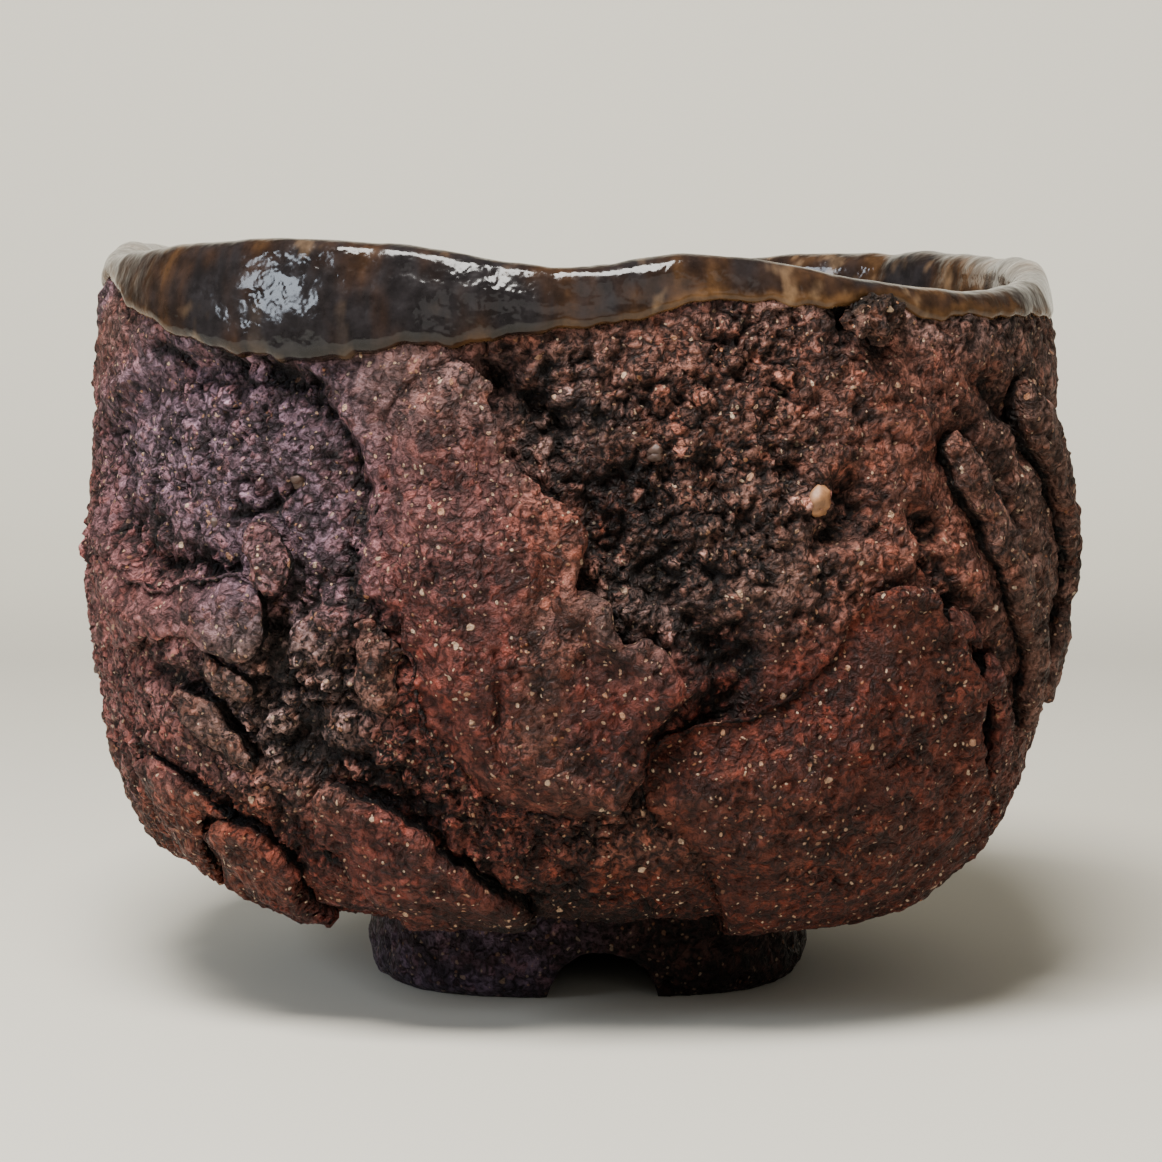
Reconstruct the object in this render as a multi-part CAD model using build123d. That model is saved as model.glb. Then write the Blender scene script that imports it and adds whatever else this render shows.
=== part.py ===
"""Hand-built tea bowl in coarse dark stoneware: a rounded-square wall on a notched ring foot, a glassy glaze
inside and over the lip, torn slabs of red clay pressed on to the outside, and stones bursting out of the wall.

Units are millimetres. +Z is up and -Y is the front of the bowl. The written parts stand on Z = 0, with their
bounding box's centre on the Z axis. Up to then, heights are from the wheel head, FOOT_DROP above the table.
Angles are in degrees about +Z from +X, so the front is at 270 and the bowl's right-hand side is at 0.
A slab's outline is drawn as seen from outside: across is to the right along the wall, and up is Z.
"""
from build123d import *

import os
from collections import namedtuple
from math import atan2, cos, hypot, pi, radians, sin

# ---- Driving dimensions ----
WIDTH = 113.8  # across the widest part of the wall, left to right
DEPTH = 109.4  # across the widest part of the wall, front to back
LIP_HEIGHT = 81.2  # mean height of the lip's crest
CORNER_POWER = 2.6  # 2 gives a round plan, and a larger power a squarer one
GLAZE = 0.8  # thickness of the glaze
GLAZE_OVERLAP = 12.0  # how far the lip's glaze runs down the inside
KEYED = -2.4  # how deep a coat's blank runs inside the clay, where the clay cuts it away
THIN_SLAB = 1.0
THICK_SLAB = 1.7
FOLD = 1.6  # thickness of the folded ridges on the right-hand side

FOOT_DROP = 0.9  # how far the foot reaches below the height that the profile is measured from
FOOT_JOINT = 9.0  # height of the bowl's underside, where the foot is luted on
FOOT_TOP_RADIUS = 25.6
FOOT_BASE_RADIUS = 24.8
FOOT_REST_RADIUS = 23.4  # outer edge of the flat face that the bowl stands on
FOOT_CORNER_POWER = 3.0  # the ring's outside is a little squarish, as the bowl is
FOOT_INNER_RADIUS = 15.5
FOOT_INNER_FLARE = 1.5  # the ring's inside opens out towards the table by this much
FOOT_SHIFT = 1.3  # the foot was luted on a little to the right of the bowl's centre
NOTCH_WIDTH = 12.4
NOTCH_HEIGHT = 5.4
NOTCH_ACROSS = 2.8  # the notch is this far to the right of the bowl's centre

# ---- The wall's profile ----
# half_width is measured along X. square blends the plan from round (0) to squarish (1). wave says how much
# of the lip's rise and fall a level takes part in.
Level = namedtuple("Level", "half_width z square wave")
HALF = WIDTH / 2
OUTSIDE = [
    Level(14.0, FOOT_JOINT, 0.0, 0.0),
    Level(26.0, 9.3, 0.1, 0.0),
    Level(36.4, 10.3, 0.4, 0.0),
    Level(44.2, 12.4, 0.7, 0.0),
    Level(49.2, 16.4, 0.9, 0.0),
    Level(52.4, 22.6, 1.0, 0.0),
    Level(54.6, 31.0, 1.0, 0.05),
    Level(HALF - 0.7, 40.5, 1.0, 0.15),
    Level(HALF, 49.0, 1.0, 0.25),
    Level(HALF - 0.9, 59.0, 1.0, 0.45),
    Level(HALF - 1.7, 69.0, 1.0, 0.75),
]
LIP = [
    Level(HALF - 2.4, LIP_HEIGHT - 4.5, 1.0, 1.0),
    Level(HALF - 3.2, LIP_HEIGHT - 1.3, 1.0, 1.0),
    Level(HALF - 5.0, LIP_HEIGHT, 1.0, 1.0),
    Level(HALF - 6.7, LIP_HEIGHT - 1.3, 1.0, 1.0),
    Level(HALF - 7.3, LIP_HEIGHT - 4.5, 1.0, 1.0),
]
INSIDE = [
    Level(HALF - 7.1, 69.0, 1.0, 0.75),
    Level(HALF - 6.6, 59.0, 1.0, 0.45),
    Level(HALF - 6.4, 48.0, 1.0, 0.25),
    Level(48.4, 36.0, 1.0, 0.1),
    Level(44.6, 26.0, 0.9, 0.0),
    Level(37.8, 19.6, 0.7, 0.0),
    Level(28.2, 16.8, 0.3, 0.0),
    Level(17.0, 15.9, 0.0, 0.0),
    Level(8.0, 15.7, 0.0, 0.0),
]
PROFILE = OUTSIDE + LIP + INSIDE

# Height of the lip's crest, and of the glaze's lower edge on the outside, every 15 degrees from the right.
LIP_CREST = (
    81.0, 81.2, 81.2, 81.4, 81.2, 80.2, 79.2, 79.0, 79.7, 80.7, 81.8, 82.8,
    82.6, 81.5, 82.0, 83.2, 83.6, 82.4, 80.6, 81.8, 80.0, 77.9, 78.6, 80.0,
)
GLAZE_EDGE = (
    75.6, 74.8, 73.8, 74.2, 75.6, 74.6, 72.6, 71.6, 73.6, 75.8, 76.8, 77.6,
    78.6, 79.0, 78.6, 74.4, 72.0, 73.8, 75.0, 77.6, 77.2, 75.6, 75.8, 75.8,
)
RING_STEPS = len(LIP_CREST)


def plan_radius(angle, half_width, square):
    """Distance from the axis to the wall at an angle in radians, before the plan is squeezed front to back."""
    power = 2 + square * (CORNER_POWER - 2)
    return half_width * (abs(cos(angle)) ** power + abs(sin(angle)) ** power) ** (-1 / power)


def closed_spline(points):
    """A smooth closed wire. Equal steps along it keep a loft through many such wires light."""
    steps = [i / len(points) for i in range(len(points) + 1)]
    return Wire([Edge.make_spline(points, periodic=True, parameters=steps)])


def ring(heights, half_widths, square):
    """A closed wire round the bowl from a height and a half-width for each of its steps."""
    points = []
    for step in range(RING_STEPS):
        angle = 2 * pi * step / RING_STEPS
        radius = plan_radius(angle, half_widths[step], square)
        points.append((radius * cos(angle), radius * sin(angle) * DEPTH / WIDTH, heights[step]))
    return closed_spline(points)


def level_ring(index, offset=0.0, waved=True):
    """The ring at PROFILE[index], moved out of the clay by offset along the profile's normal."""
    level = PROFILE[index]
    before, after = PROFILE[max(index - 1, 0)], PROFILE[min(index + 1, len(PROFILE) - 1)]
    run, rise = after.half_width - before.half_width, after.z - before.z
    length = hypot(run, rise)
    half_width = level.half_width + offset * rise / length
    z = level.z - offset * run / length
    wave = level.wave if waved else 0.0
    heights = [z + wave * (crest - LIP_HEIGHT) for crest in LIP_CREST]
    return ring(heights, [half_width] * RING_STEPS, level.square)


def wall_half_width(z, crest, levels):
    """Half-width of the wall at height z under a crest, between the two levels that it lies between."""
    raised = sorted((level.z + level.wave * (crest - LIP_HEIGHT), level.half_width) for level in levels)
    for (low, wide_low), (high, wide_high) in zip(raised, raised[1:]):
        if z <= high:
            return wide_low + (wide_high - wide_low) * (z - low) / (high - low)
    return raised[-1][1]


def edge_ring(edge, rise, offset, levels, outward):
    """A ring that follows a coat's wavy edge, moved up by rise and out of the clay by offset."""
    heights = [z + rise for z in edge]
    half_widths = [
        wall_half_width(z, crest, levels) + outward * offset for z, crest in zip(heights, LIP_CREST)
    ]
    return ring(heights, half_widths, 1.0)


def make_clay_body():
    return Solid.make_loft([level_ring(i) for i in range(len(PROFILE))])


def make_rim_glaze_blank():
    """The coat over the lip. Below its edges it runs inside the wall, and the clay is cut from it."""
    outer, inner = len(OUTSIDE), len(OUTSIDE) + len(LIP)
    inner_edge = [crest - GLAZE_OVERLAP for crest in LIP_CREST]
    return Solid.make_loft(
        [level_ring(i, KEYED) for i in range(outer - 2)]
        + [
            edge_ring(GLAZE_EDGE, -7.0, KEYED, OUTSIDE + LIP[:1], 1),
            edge_ring(GLAZE_EDGE, -0.6, -GLAZE, OUTSIDE + LIP[:2], 1),
            edge_ring(GLAZE_EDGE, 0.8, GLAZE, OUTSIDE + LIP[:2], 1),
        ]
        + [level_ring(i, GLAZE) for i in range(outer + 1, inner)]
        + [
            edge_ring(inner_edge, 2.0, GLAZE, LIP[-2:] + INSIDE, -1),
            edge_ring(inner_edge, 0.0, -GLAZE, LIP[-2:] + INSIDE, -1),
        ]
        + [level_ring(i, KEYED) for i in range(inner + 1, len(PROFILE))]
    )


def make_inner_glaze_blank():
    """The poured coat inside. Its top edge lies under the lip's coat."""
    outer, inner = len(OUTSIDE), len(OUTSIDE) + len(LIP)
    top = [crest - GLAZE_OVERLAP for crest in LIP_CREST]
    return Solid.make_loft(
        [level_ring(i, KEYED) for i in range(outer - 2)]
        + [
            edge_ring(top, -2.0, KEYED - 0.6, OUTSIDE + LIP[:1], 1),
            edge_ring(top, 2.6, -GLAZE, LIP[-2:] + INSIDE, -1),
            edge_ring(top, 1.4, GLAZE, LIP[-2:] + INSIDE, -1),
        ]
        + [level_ring(i, GLAZE) for i in range(inner + 1, len(PROFILE))]
    )


def make_foot_ring(clay_body):
    """A hand-cut, slightly squarish ring with one arched notch at the front, cut to the bowl's underside."""
    sink = 3.0  # the blank runs this far into the floor

    def section(half_width, z, wobble):
        points = []
        for step in range(RING_STEPS):
            a = 2 * pi * step / RING_STEPS
            power = FOOT_CORNER_POWER
            radius = half_width * (abs(cos(a)) ** power + abs(sin(a)) ** power) ** (-1 / power)
            radius += wobble * (sin(2 * a + 0.7) + 0.6 * sin(3 * a + 2.0))
            points.append((FOOT_SHIFT + radius * cos(a), radius * sin(a), z))
        return closed_spline(points)

    outer = Solid.make_loft([
        section(FOOT_REST_RADIUS, -FOOT_DROP, 0.25),
        section(FOOT_BASE_RADIUS, -FOOT_DROP + 1.3, 0.3),
        section(FOOT_TOP_RADIUS - 0.3, 4.5, 0.3),
        section(FOOT_TOP_RADIUS, FOOT_JOINT + sink, 0.2),
    ])
    height = FOOT_DROP + FOOT_JOINT + sink
    hollow = Pos(FOOT_SHIFT, 0, height / 2 - FOOT_DROP) * Cone(
        FOOT_INNER_RADIUS + FOOT_INNER_FLARE, FOOT_INNER_RADIUS, height
    )
    arch = Plane.XZ * Pos(NOTCH_ACROSS, -FOOT_DROP) * Ellipse(NOTCH_WIDTH / 2, NOTCH_HEIGHT)
    notch = extrude(arch, amount=2 * FOOT_TOP_RADIUS)
    return (outer - hollow - notch - clay_body).solids().sort_by(SortBy.VOLUME)[-1]


# ---- Slabs pressed on to the wall ----
# name: azimuth of the view that the outline is drawn in, thickness, and the outline's points (across, up).
SLABS = {
    # The large torn skin that crosses the front from under the glaze, with a scalloped right-hand edge.
    "slab_front_centre": (265, THICK_SLAB, [
        (-16.0, 64.0), (-13.5, 69.8), (-6.0, 71.5), (-3.5, 66.0), (-0.5, 60.0), (3.0, 57.5), (6.3, 53.0),
        (4.8, 49.0), (8.4, 47.5), (8.8, 44.0), (13.6, 42.8), (15.8, 39.2), (12.8, 34.0), (11.0, 28.0),
        (7.0, 22.8), (1.0, 23.4), (-5.5, 25.6), (-10.2, 31.0), (-12.6, 38.5), (-14.2, 47.0), (-16.2, 56.0),
    ]),
    # The smooth plate that wraps the lower right-hand corner.
    "slab_lower_right": (285, THICK_SLAB, [
        (-6.0, 32.2), (-1.0, 33.8), (4.5, 35.2), (12.0, 41.5), (17.5, 48.0), (23.0, 47.8), (27.0, 43.0),
        (30.8, 38.6), (30.6, 33.0), (32.2, 27.5), (30.8, 19.0), (24.0, 15.0), (13.5, 13.4), (4.5, 13.0),
        (0.5, 17.2), (-5.5, 23.2),
    ]),
    # The long lens whose upper edge hangs over a black crevice.
    "slab_lower_left": (255, THICK_SLAB, [
        (-14.6, 24.5), (-12.5, 27.2), (-8.5, 25.6), (-4.2, 23.4), (-0.8, 19.6), (3.4, 16.2), (6.2, 13.4),
        (1.5, 12.4), (-6.0, 13.6), (-11.5, 16.6),
    ]),
    "slab_heel_left": (232, THICK_SLAB, [
        (-10.6, 18.8), (-4.2, 22.0), (-0.4, 20.4), (2.2, 16.8), (-1.5, 14.0), (-8.5, 15.0),
    ]),
    "slab_corner_left": (220, THIN_SLAB, [
        (-9.0, 27.4), (-1.2, 27.2), (4.4, 24.6), (7.6, 22.2), (1.0, 18.4), (-6.0, 16.8), (-9.5, 20.0),
    ]),
    "slab_band_left": (220, THIN_SLAB, [
        (-12.0, 49.6), (-4.0, 47.8), (4.5, 47.4), (13.5, 49.6), (16.6, 47.4), (14.6, 41.0), (7.0, 42.2),
        (-2.0, 40.8), (-11.0, 42.2),
    ]),
    "chip_left_tall": (250, THIN_SLAB, [
        (-2.0, 45.4), (0.4, 43.0), (0.6, 38.0), (-1.4, 35.4), (-3.4, 37.2), (-3.4, 42.4),
    ]),
    "chip_left_upper": (235, THIN_SLAB, [
        (0.4, 54.8), (3.2, 53.2), (4.2, 49.2), (2.2, 47.6), (0.2, 49.2), (-0.7, 52.4),
    ]),
    "chip_left_middle": (225, THIN_SLAB, [
        (2.6, 40.3), (6.2, 39.6), (9.6, 37.2), (7.0, 36.0), (3.6, 37.6),
    ]),
    "chip_left_lower": (225, THIN_SLAB, [
        (-1.6, 36.2), (2.6, 36.0), (5.4, 33.0), (8.0, 28.6), (4.4, 28.6), (0.0, 31.0), (-2.2, 33.4),
    ]),
    # Ridges where the wall was folded while it was wet, from the front corner round to the right-hand side.
    "fold_right_low": (318, FOLD, [
        (-8.2, 46.4), (-3.6, 44.0), (1.2, 38.8), (5.4, 33.4), (6.2, 27.0), (2.6, 25.4), (1.2, 31.4),
        (-3.8, 38.8),
    ]),
    "fold_right_middle": (328, FOLD, [
        (-14.6, 64.6), (-11.4, 61.0), (-7.2, 53.4), (-2.6, 46.8), (1.4, 40.4), (2.8, 33.0), (0.2, 31.0),
        (-4.2, 38.6), (-9.4, 46.4), (-13.8, 55.0), (-16.4, 60.8),
    ]),
    "fold_right_tall": (345, FOLD, [
        (-19.0, 69.6), (-14.4, 67.4), (-8.6, 59.8), (-5.2, 52.0), (-4.6, 43.0), (-7.4, 33.0), (-10.2, 33.4),
        (-9.2, 43.0), (-11.6, 51.6), (-16.4, 59.4), (-20.6, 65.0),
    ]),
    # The unseen sides.
    "slab_right_back": (36, THICK_SLAB, [
        (-17.0, 58.0), (-10.0, 63.5), (-2.0, 62.0), (4.0, 57.0), (12.0, 58.5), (17.0, 51.0), (13.5, 42.0),
        (16.0, 33.0), (8.0, 25.5), (-1.0, 27.5), (-7.0, 34.0), (-15.0, 36.5), (-18.5, 47.0),
    ]),
    "slab_back_right": (70, THIN_SLAB, [
        (-9.0, 30.0), (-2.0, 34.5), (7.5, 31.0), (13.0, 24.0), (9.0, 17.0), (-1.0, 15.5), (-10.0, 19.5),
    ]),
    "slab_back_centre": (90, THICK_SLAB, [
        (-16.0, 61.0), (-9.5, 68.0), (0.0, 66.5), (5.0, 60.5), (12.5, 61.5), (17.0, 54.0), (12.0, 47.0),
        (14.5, 39.0), (6.5, 34.5), (-2.0, 38.5), (-7.0, 33.0), (-15.0, 37.5), (-19.0, 48.0),
    ]),
    "slab_back_low": (105, THICK_SLAB, [
        (-13.0, 20.0), (-6.0, 27.5), (4.0, 26.0), (10.5, 29.0), (17.0, 22.5), (13.0, 15.5), (2.0, 13.5),
        (-9.0, 14.0),
    ]),
    "slab_back_left": (134, THICK_SLAB, [
        (-14.0, 56.0), (-7.0, 64.5), (3.0, 66.0), (9.5, 60.0), (15.5, 62.0), (19.0, 52.0), (13.0, 43.0),
        (15.0, 33.0), (6.0, 28.5), (-3.0, 31.0), (-8.0, 38.5), (-14.5, 43.0),
    ]),
    "slab_left_low": (168, THIN_SLAB, [
        (-15.0, 24.0), (-8.0, 31.0), (2.0, 29.0), (11.0, 33.0), (17.0, 26.0), (12.0, 18.0), (0.0, 16.5),
        (-11.0, 17.5),
    ]),
    "slab_left_high": (174, THIN_SLAB, [
        (-8.0, 66.0), (0.5, 70.5), (8.5, 66.0), (12.0, 58.0), (9.5, 50.0), (2.0, 45.5), (-5.0, 49.5),
        (-10.0, 57.0),
    ]),
}
PRISM_START = 24.0  # distance from the axis at which an outline's prism begins
PRISM_LENGTH = 50.0


def make_skin(thickness):
    """A solid bowl shape that stands outside the clay by thickness, up to just under the lip."""
    return Solid.make_loft([level_ring(i, thickness, waved=False) for i in range(len(OUTSIDE) + 1)])


def make_slab(azimuth, outline, skin, clay_body):
    """The part of a skin that lies inside an outline and outside the clay."""
    angle = radians(azimuth)
    outward = Vector(cos(angle), sin(angle), 0)
    view = Plane(origin=outward * PRISM_START, x_dir=(-sin(angle), cos(angle), 0), z_dir=outward)
    points = [view.from_local_coords(Vector(across, up, 0)) for across, up in outline]
    face = Face(Wire([Edge.make_spline(points, periodic=True)]))
    prism = Solid.extrude(face, outward * PRISM_LENGTH)
    pieces = ((skin & prism) - clay_body).solids()
    return max(pieces, key=lambda piece: piece.center().dot(outward))


# ---- Stones and the pinched lump ----
# Each is a spheroid on the wall: azimuth, height, half-length along its own axis, and radius about that axis.
STONES = [
    (296.5, 57.6, 1.7, 1.25),  # the pale pebble in the pit at the front
    (238.0, 59.0, 0.8, 0.95),
    (228.0, 54.5, 0.9, 0.8),
    (279.0, 62.5, 0.7, 0.8),
    (352.0, 73.0, 1.2, 0.9),
    (45.0, 70.0, 1.3, 1.1),
    (70.0, 44.0, 1.0, 1.3),
    (119.0, 50.0, 1.4, 1.0),
    (163.0, 71.0, 1.0, 1.2),
    (196.0, 36.0, 1.2, 1.0),
]
STONE_BURY = 0.35  # share of a stone's radius by which its centre lies inside the wall's face
LUMP = (303.0, 76.2, 4.3, 2.4)  # pinched from the lip's coat, and lying along the wall
LUMP_BURY = 0.0


def spheroid(half_length, radius):
    """A spheroid about Z."""
    half = Ellipse(radius, half_length) & Pos(radius, 0) * Rectangle(2 * radius, 2 * half_length)
    return revolve(Plane.XZ * half, axis=Axis.Z)


def placed_on_wall(shape, azimuth, z, sink):
    """A shape moved so that its origin is sink inside the wall's face, with its X axis pointing outwards."""
    angle = radians(azimuth)
    plan_angle = atan2(sin(angle) * WIDTH / DEPTH, cos(angle))
    half_width = wall_half_width(z, LIP_HEIGHT, OUTSIDE + LIP[:1])
    radius = plan_radius(plan_angle, half_width, 1.0)
    on_wall = Vector(radius * cos(plan_angle), radius * sin(plan_angle) * DEPTH / WIDTH, z)
    return Pos(on_wall - Vector(cos(angle), sin(angle), 0) * sink) * Rot(0, 0, azimuth) * shape


def make_stones():
    """Upright stones. The clay is cut from the share of each that lies inside the wall."""
    return [
        placed_on_wall(spheroid(half_length, radius), azimuth, z, radius * STONE_BURY)
        for azimuth, z, half_length, radius in STONES
    ]


def make_lump():
    azimuth, z, half_length, radius = LUMP
    return placed_on_wall(Rot(90, 0, 0) * spheroid(half_length, radius), azimuth, z, radius * LUMP_BURY)


def build():
    """Every node's solids by name, where the wall's own axis is the origin."""
    clay_body = make_clay_body()
    foot_ring = make_foot_ring(clay_body)
    rim_glaze = make_rim_glaze_blank() - clay_body
    inner_glaze = make_inner_glaze_blank() - clay_body - rim_glaze
    lump = make_lump() - clay_body
    nodes = {
        "foot_ring": foot_ring,
        "inner_glaze": inner_glaze,
        "rim_lump": lump,
    }
    skins = {t: make_skin(t) for t in (THIN_SLAB, THICK_SLAB, FOLD)}
    laid = []
    for name, (azimuth, thickness, outline) in SLABS.items():
        slab = make_slab(azimuth, outline, skins[thickness], clay_body)
        for other in laid:
            slab = slab - other
        slab = slab.solids().sort_by(SortBy.VOLUME)[-1]
        laid.append(slab)
        nodes[name] = slab
    caps = [(stone - clay_body).solids()[0] for stone in make_stones()]
    nodes["stones"] = Compound(children=caps)
    nodes["rim_glaze"] = rim_glaze - lump
    nodes["clay_body"] = clay_body
    return nodes


def main():
    os.makedirs("parts", exist_ok=True)
    nodes = build()
    box = Compound(children=[Compound(children=list(n.solids())) for n in nodes.values()]).bounding_box()
    to_origin = Pos(-box.center().X, -box.center().Y, -box.min.Z)
    for name, shape in nodes.items():
        solids = [to_origin * solid for solid in shape.solids()]
        export_step(Compound(children=solids) if len(solids) > 1 else solids[0], f"parts/{name}.step")
    print(f"origin moved by {box.center().X:.3f}, {box.center().Y:.3f}, {box.min.Z:.3f}")
    print(f"size {box.size.X:.2f} x {box.size.Y:.2f} x {box.size.Z:.2f}")


main()
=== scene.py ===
"""Looks of the tea bowl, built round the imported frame.

Work is in millimetres, in the frame's own axes: +Z is up and -Y is the bowl's front.
The wall's two faces are read from the CAD clay body by casting rays. They become one sheet of points.
Its first axis follows the profile: from the middle of the underside, up the outside, over the lip and down to
the middle of the floor. Its second axis goes round the bowl from +X. Every clay and glaze piece is a part of
that sheet, moved in and out along its normals.
"""

from math import cos, pi, radians, sin

import bmesh
import bpy
import numpy as np
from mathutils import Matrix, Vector
from mathutils.bvhtree import BVHTree

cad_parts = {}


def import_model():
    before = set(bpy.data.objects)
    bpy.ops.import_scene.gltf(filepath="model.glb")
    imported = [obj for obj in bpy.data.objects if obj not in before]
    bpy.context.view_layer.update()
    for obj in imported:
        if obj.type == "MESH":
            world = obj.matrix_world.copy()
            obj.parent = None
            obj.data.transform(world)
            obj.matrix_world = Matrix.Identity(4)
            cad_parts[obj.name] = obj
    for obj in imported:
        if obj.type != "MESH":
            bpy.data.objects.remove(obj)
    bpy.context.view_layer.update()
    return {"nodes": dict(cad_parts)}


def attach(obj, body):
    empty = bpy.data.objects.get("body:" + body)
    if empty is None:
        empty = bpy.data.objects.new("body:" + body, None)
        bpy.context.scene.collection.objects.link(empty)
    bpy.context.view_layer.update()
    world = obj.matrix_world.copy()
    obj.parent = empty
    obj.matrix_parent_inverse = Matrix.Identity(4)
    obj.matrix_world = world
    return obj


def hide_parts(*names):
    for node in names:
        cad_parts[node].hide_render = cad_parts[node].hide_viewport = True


MM = 0.001

# ---- The sheet ----
AROUND = 880  # points round the bowl
STEP = 0.42  # distance between two points along the profile
COARSE_AROUND = 192  # columns read from the CAD, before they are smoothed and made finer
COARSE_ALONG = 200  # points read on each face of a column
EYE_HEIGHT = 52.0  # height of a point on the axis that sees all of both faces
FAR = 200.0  # outside the whole bowl
LIP_SEARCH = 22  # halvings of the angle in which the lip's crest is looked for
LIP_MARGIN = radians(0.1)  # how far below the crest the highest ray passes
FINEST_HARMONIC = 50.0  # ripples round the bowl that are finer than this are the CAD's facets


def mesh_tree(obj, keep=None):
    """A CAD mesh to cast rays at, in millimetres. It has every face, or only those that keep picks."""
    verts = [v.co / MM for v in obj.data.vertices]
    faces = [p.vertices[:] for p in obj.data.polygons if keep is None or keep(p)]
    return BVHTree.FromPolygons(verts, faces)


def first_hit(tree, start, direction):
    """Where a ray first meets a mesh. One that slips between two faces is tried again a hair to the side."""
    for nudge in (0.0, 1e-4, -2e-4, 4e-4):
        hit = tree.ray_cast(start, direction + Vector((nudge, 0.7 * nudge, -0.4 * nudge)))[0]
        if hit is not None:
            return hit
    return None


def read_column(tree, azimuth):
    """The wall's outer and inner faces at an azimuth, both from the bottom up."""
    eye = Vector((0, 0, EYE_HEIGHT))
    out = Vector((cos(azimuth), sin(azimuth), 0))
    up = Vector((0, 0, 1))

    def ray(elevation):
        return out * cos(elevation) + up * sin(elevation)

    low, high = 0.0, radians(70)
    for _ in range(LIP_SEARCH):
        middle = (low + high) / 2
        if first_hit(tree, eye, ray(middle)) is None:
            high = middle
        else:
            low = middle
    top = low - LIP_MARGIN
    outer, inner = [], []
    for i in range(COARSE_ALONG + 1):
        share = 1 - i / COARSE_ALONG
        direction = ray(top - (top + pi / 2) * share * share)
        outer.append(first_hit(tree, eye + direction * FAR, -direction))
        inner.append(first_hit(tree, eye, direction))
    # A ray that slips over the crest meets the far wall, which is on the other side of the axis.
    return [np.array([p for p in face if p is not None and p.dot(out) > -0.01]) for face in (outer, inner)]


def step_lengths(column):
    return np.linalg.norm(np.diff(column, axis=0), axis=1)


def even_steps(column, count):
    """The same curve as count points at even distances."""
    length = np.concatenate([[0], np.cumsum(step_lengths(column))])
    wanted = np.linspace(0, length[-1], count)
    return np.stack([np.interp(wanted, length, column[:, k]) for k in range(3)], axis=1)


def soften(values, passes, axis):
    """Averages each value with its neighbours along an axis. The ends stay where they are."""
    values = np.moveaxis(values.copy(), axis, 0)
    for _ in range(passes):
        values[1:-1] = 0.25 * values[:-2] + 0.5 * values[1:-1] + 0.25 * values[2:]
    return np.moveaxis(values, 0, axis)


def finer_around(values, count):
    """Resamples a grid round the bowl through its harmonics, which also smooths the CAD's facets."""
    harmonics = np.fft.rfft(values, axis=1)
    order = np.arange(harmonics.shape[1]).reshape(1, -1, 1)
    harmonics = harmonics * np.exp(-((order / FINEST_HARMONIC) ** 4))
    return np.fft.irfft(harmonics, n=count, axis=1) * count / values.shape[1]


def read_sheet(clay):
    """The sheet's points and its number of outer rows."""
    tree = mesh_tree(clay)
    columns = [read_column(tree, 2 * pi * i / COARSE_AROUND) for i in range(COARSE_AROUND)]
    lengths = [max(step_lengths(face).sum() for face in faces) for faces in zip(*columns)]
    outer_rows, inner_rows = (int(length / STEP) for length in lengths)
    outer = np.stack([even_steps(o, outer_rows) for o, _ in columns], axis=1)
    inner = np.stack([even_steps(i[::-1], inner_rows + 1)[1:] for _, i in columns], axis=1)
    sheet = soften(np.concatenate([outer, inner]), 6, axis=0)
    return finer_around(sheet, AROUND), outer_rows


def normals_of(points):
    """Unit normals of a grid that closes round its second axis."""
    along = np.gradient(points, axis=0)
    around = (np.roll(points, -1, axis=1) - np.roll(points, 1, axis=1)) / 2
    normal = np.cross(around, along)
    return normal / np.maximum(np.linalg.norm(normal, axis=2, keepdims=True), 1e-9)


# ---- Noise ----
LATTICE_START = 4096.0  # cells are counted from here, so that no cell's number is negative


def hashed(cell, salt, count):
    """Up to four repeatable numbers from 0 to 1 for each cell, from its three unsigned integers."""
    n = cell[0] * np.uint32(0x8DA6B343) + cell[1] * np.uint32(0xD8163841) + cell[2] * np.uint32(0xCB1AB31F)
    n = n + np.uint32(salt * 7919 + 13)
    n = (n ^ (n >> np.uint32(15))) * np.uint32(0x2C1B3C6D)
    n = (n ^ (n >> np.uint32(12))) * np.uint32(0x297A2D39)
    n = n ^ (n >> np.uint32(15))
    spread = [np.uint32(1), np.uint32(0x9E3779B1), np.uint32(0x85EBCA77), np.uint32(0xC2B2AE3D)]
    return [((n * spread[k]) >> np.uint32(12)).astype(np.float32) * np.float32(2**-20) for k in range(count)]


def lattice(points, size):
    """Each point's cell, as three whole numbers, and its place in the cell, as three shares."""
    scaled = points / size + LATTICE_START
    base = np.floor(scaled)
    cells, share = base.astype(np.uint32), (scaled - base).astype(np.float32)
    return [cells[..., k] for k in range(3)], [share[..., k] for k in range(3)]


def noise(points, size, seed=0):
    """Smooth noise from about -1 to 1, with features about size across."""
    base, f = lattice(points, size)
    w = [x * x * x * (x * (x * 6 - 15) + 10) for x in f]
    total = np.zeros(points.shape[:-1], np.float32)
    for corner in np.ndindex(2, 2, 2):
        numbers = hashed([base[k] + np.uint32(corner[k]) for k in range(3)], seed, 3)
        weight = 1.0
        slope = 0.0
        for k in range(3):
            weight = weight * (w[k] if corner[k] else 1 - w[k])
            slope = slope + (numbers[k] * 2 - 1) * (f[k] - corner[k])
        total += weight * slope
    return total * 1.6


def rough_noise(points, size, seed=0, octaves=4, gain=0.5):
    """Noise with finer and finer features added to it."""
    total, weight = 0.0, 1.0
    for octave in range(octaves):
        total = total + weight * noise(points, size / 2**octave, seed + 31 * octave)
        weight *= gain
    return total


def wandering(points, amount, size, seed):
    """The points, moved about by noise, so that lines and cells drawn from them are uneven."""
    return points + amount * np.stack([noise(points, size, seed + k) for k in range(3)], axis=-1)


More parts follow.
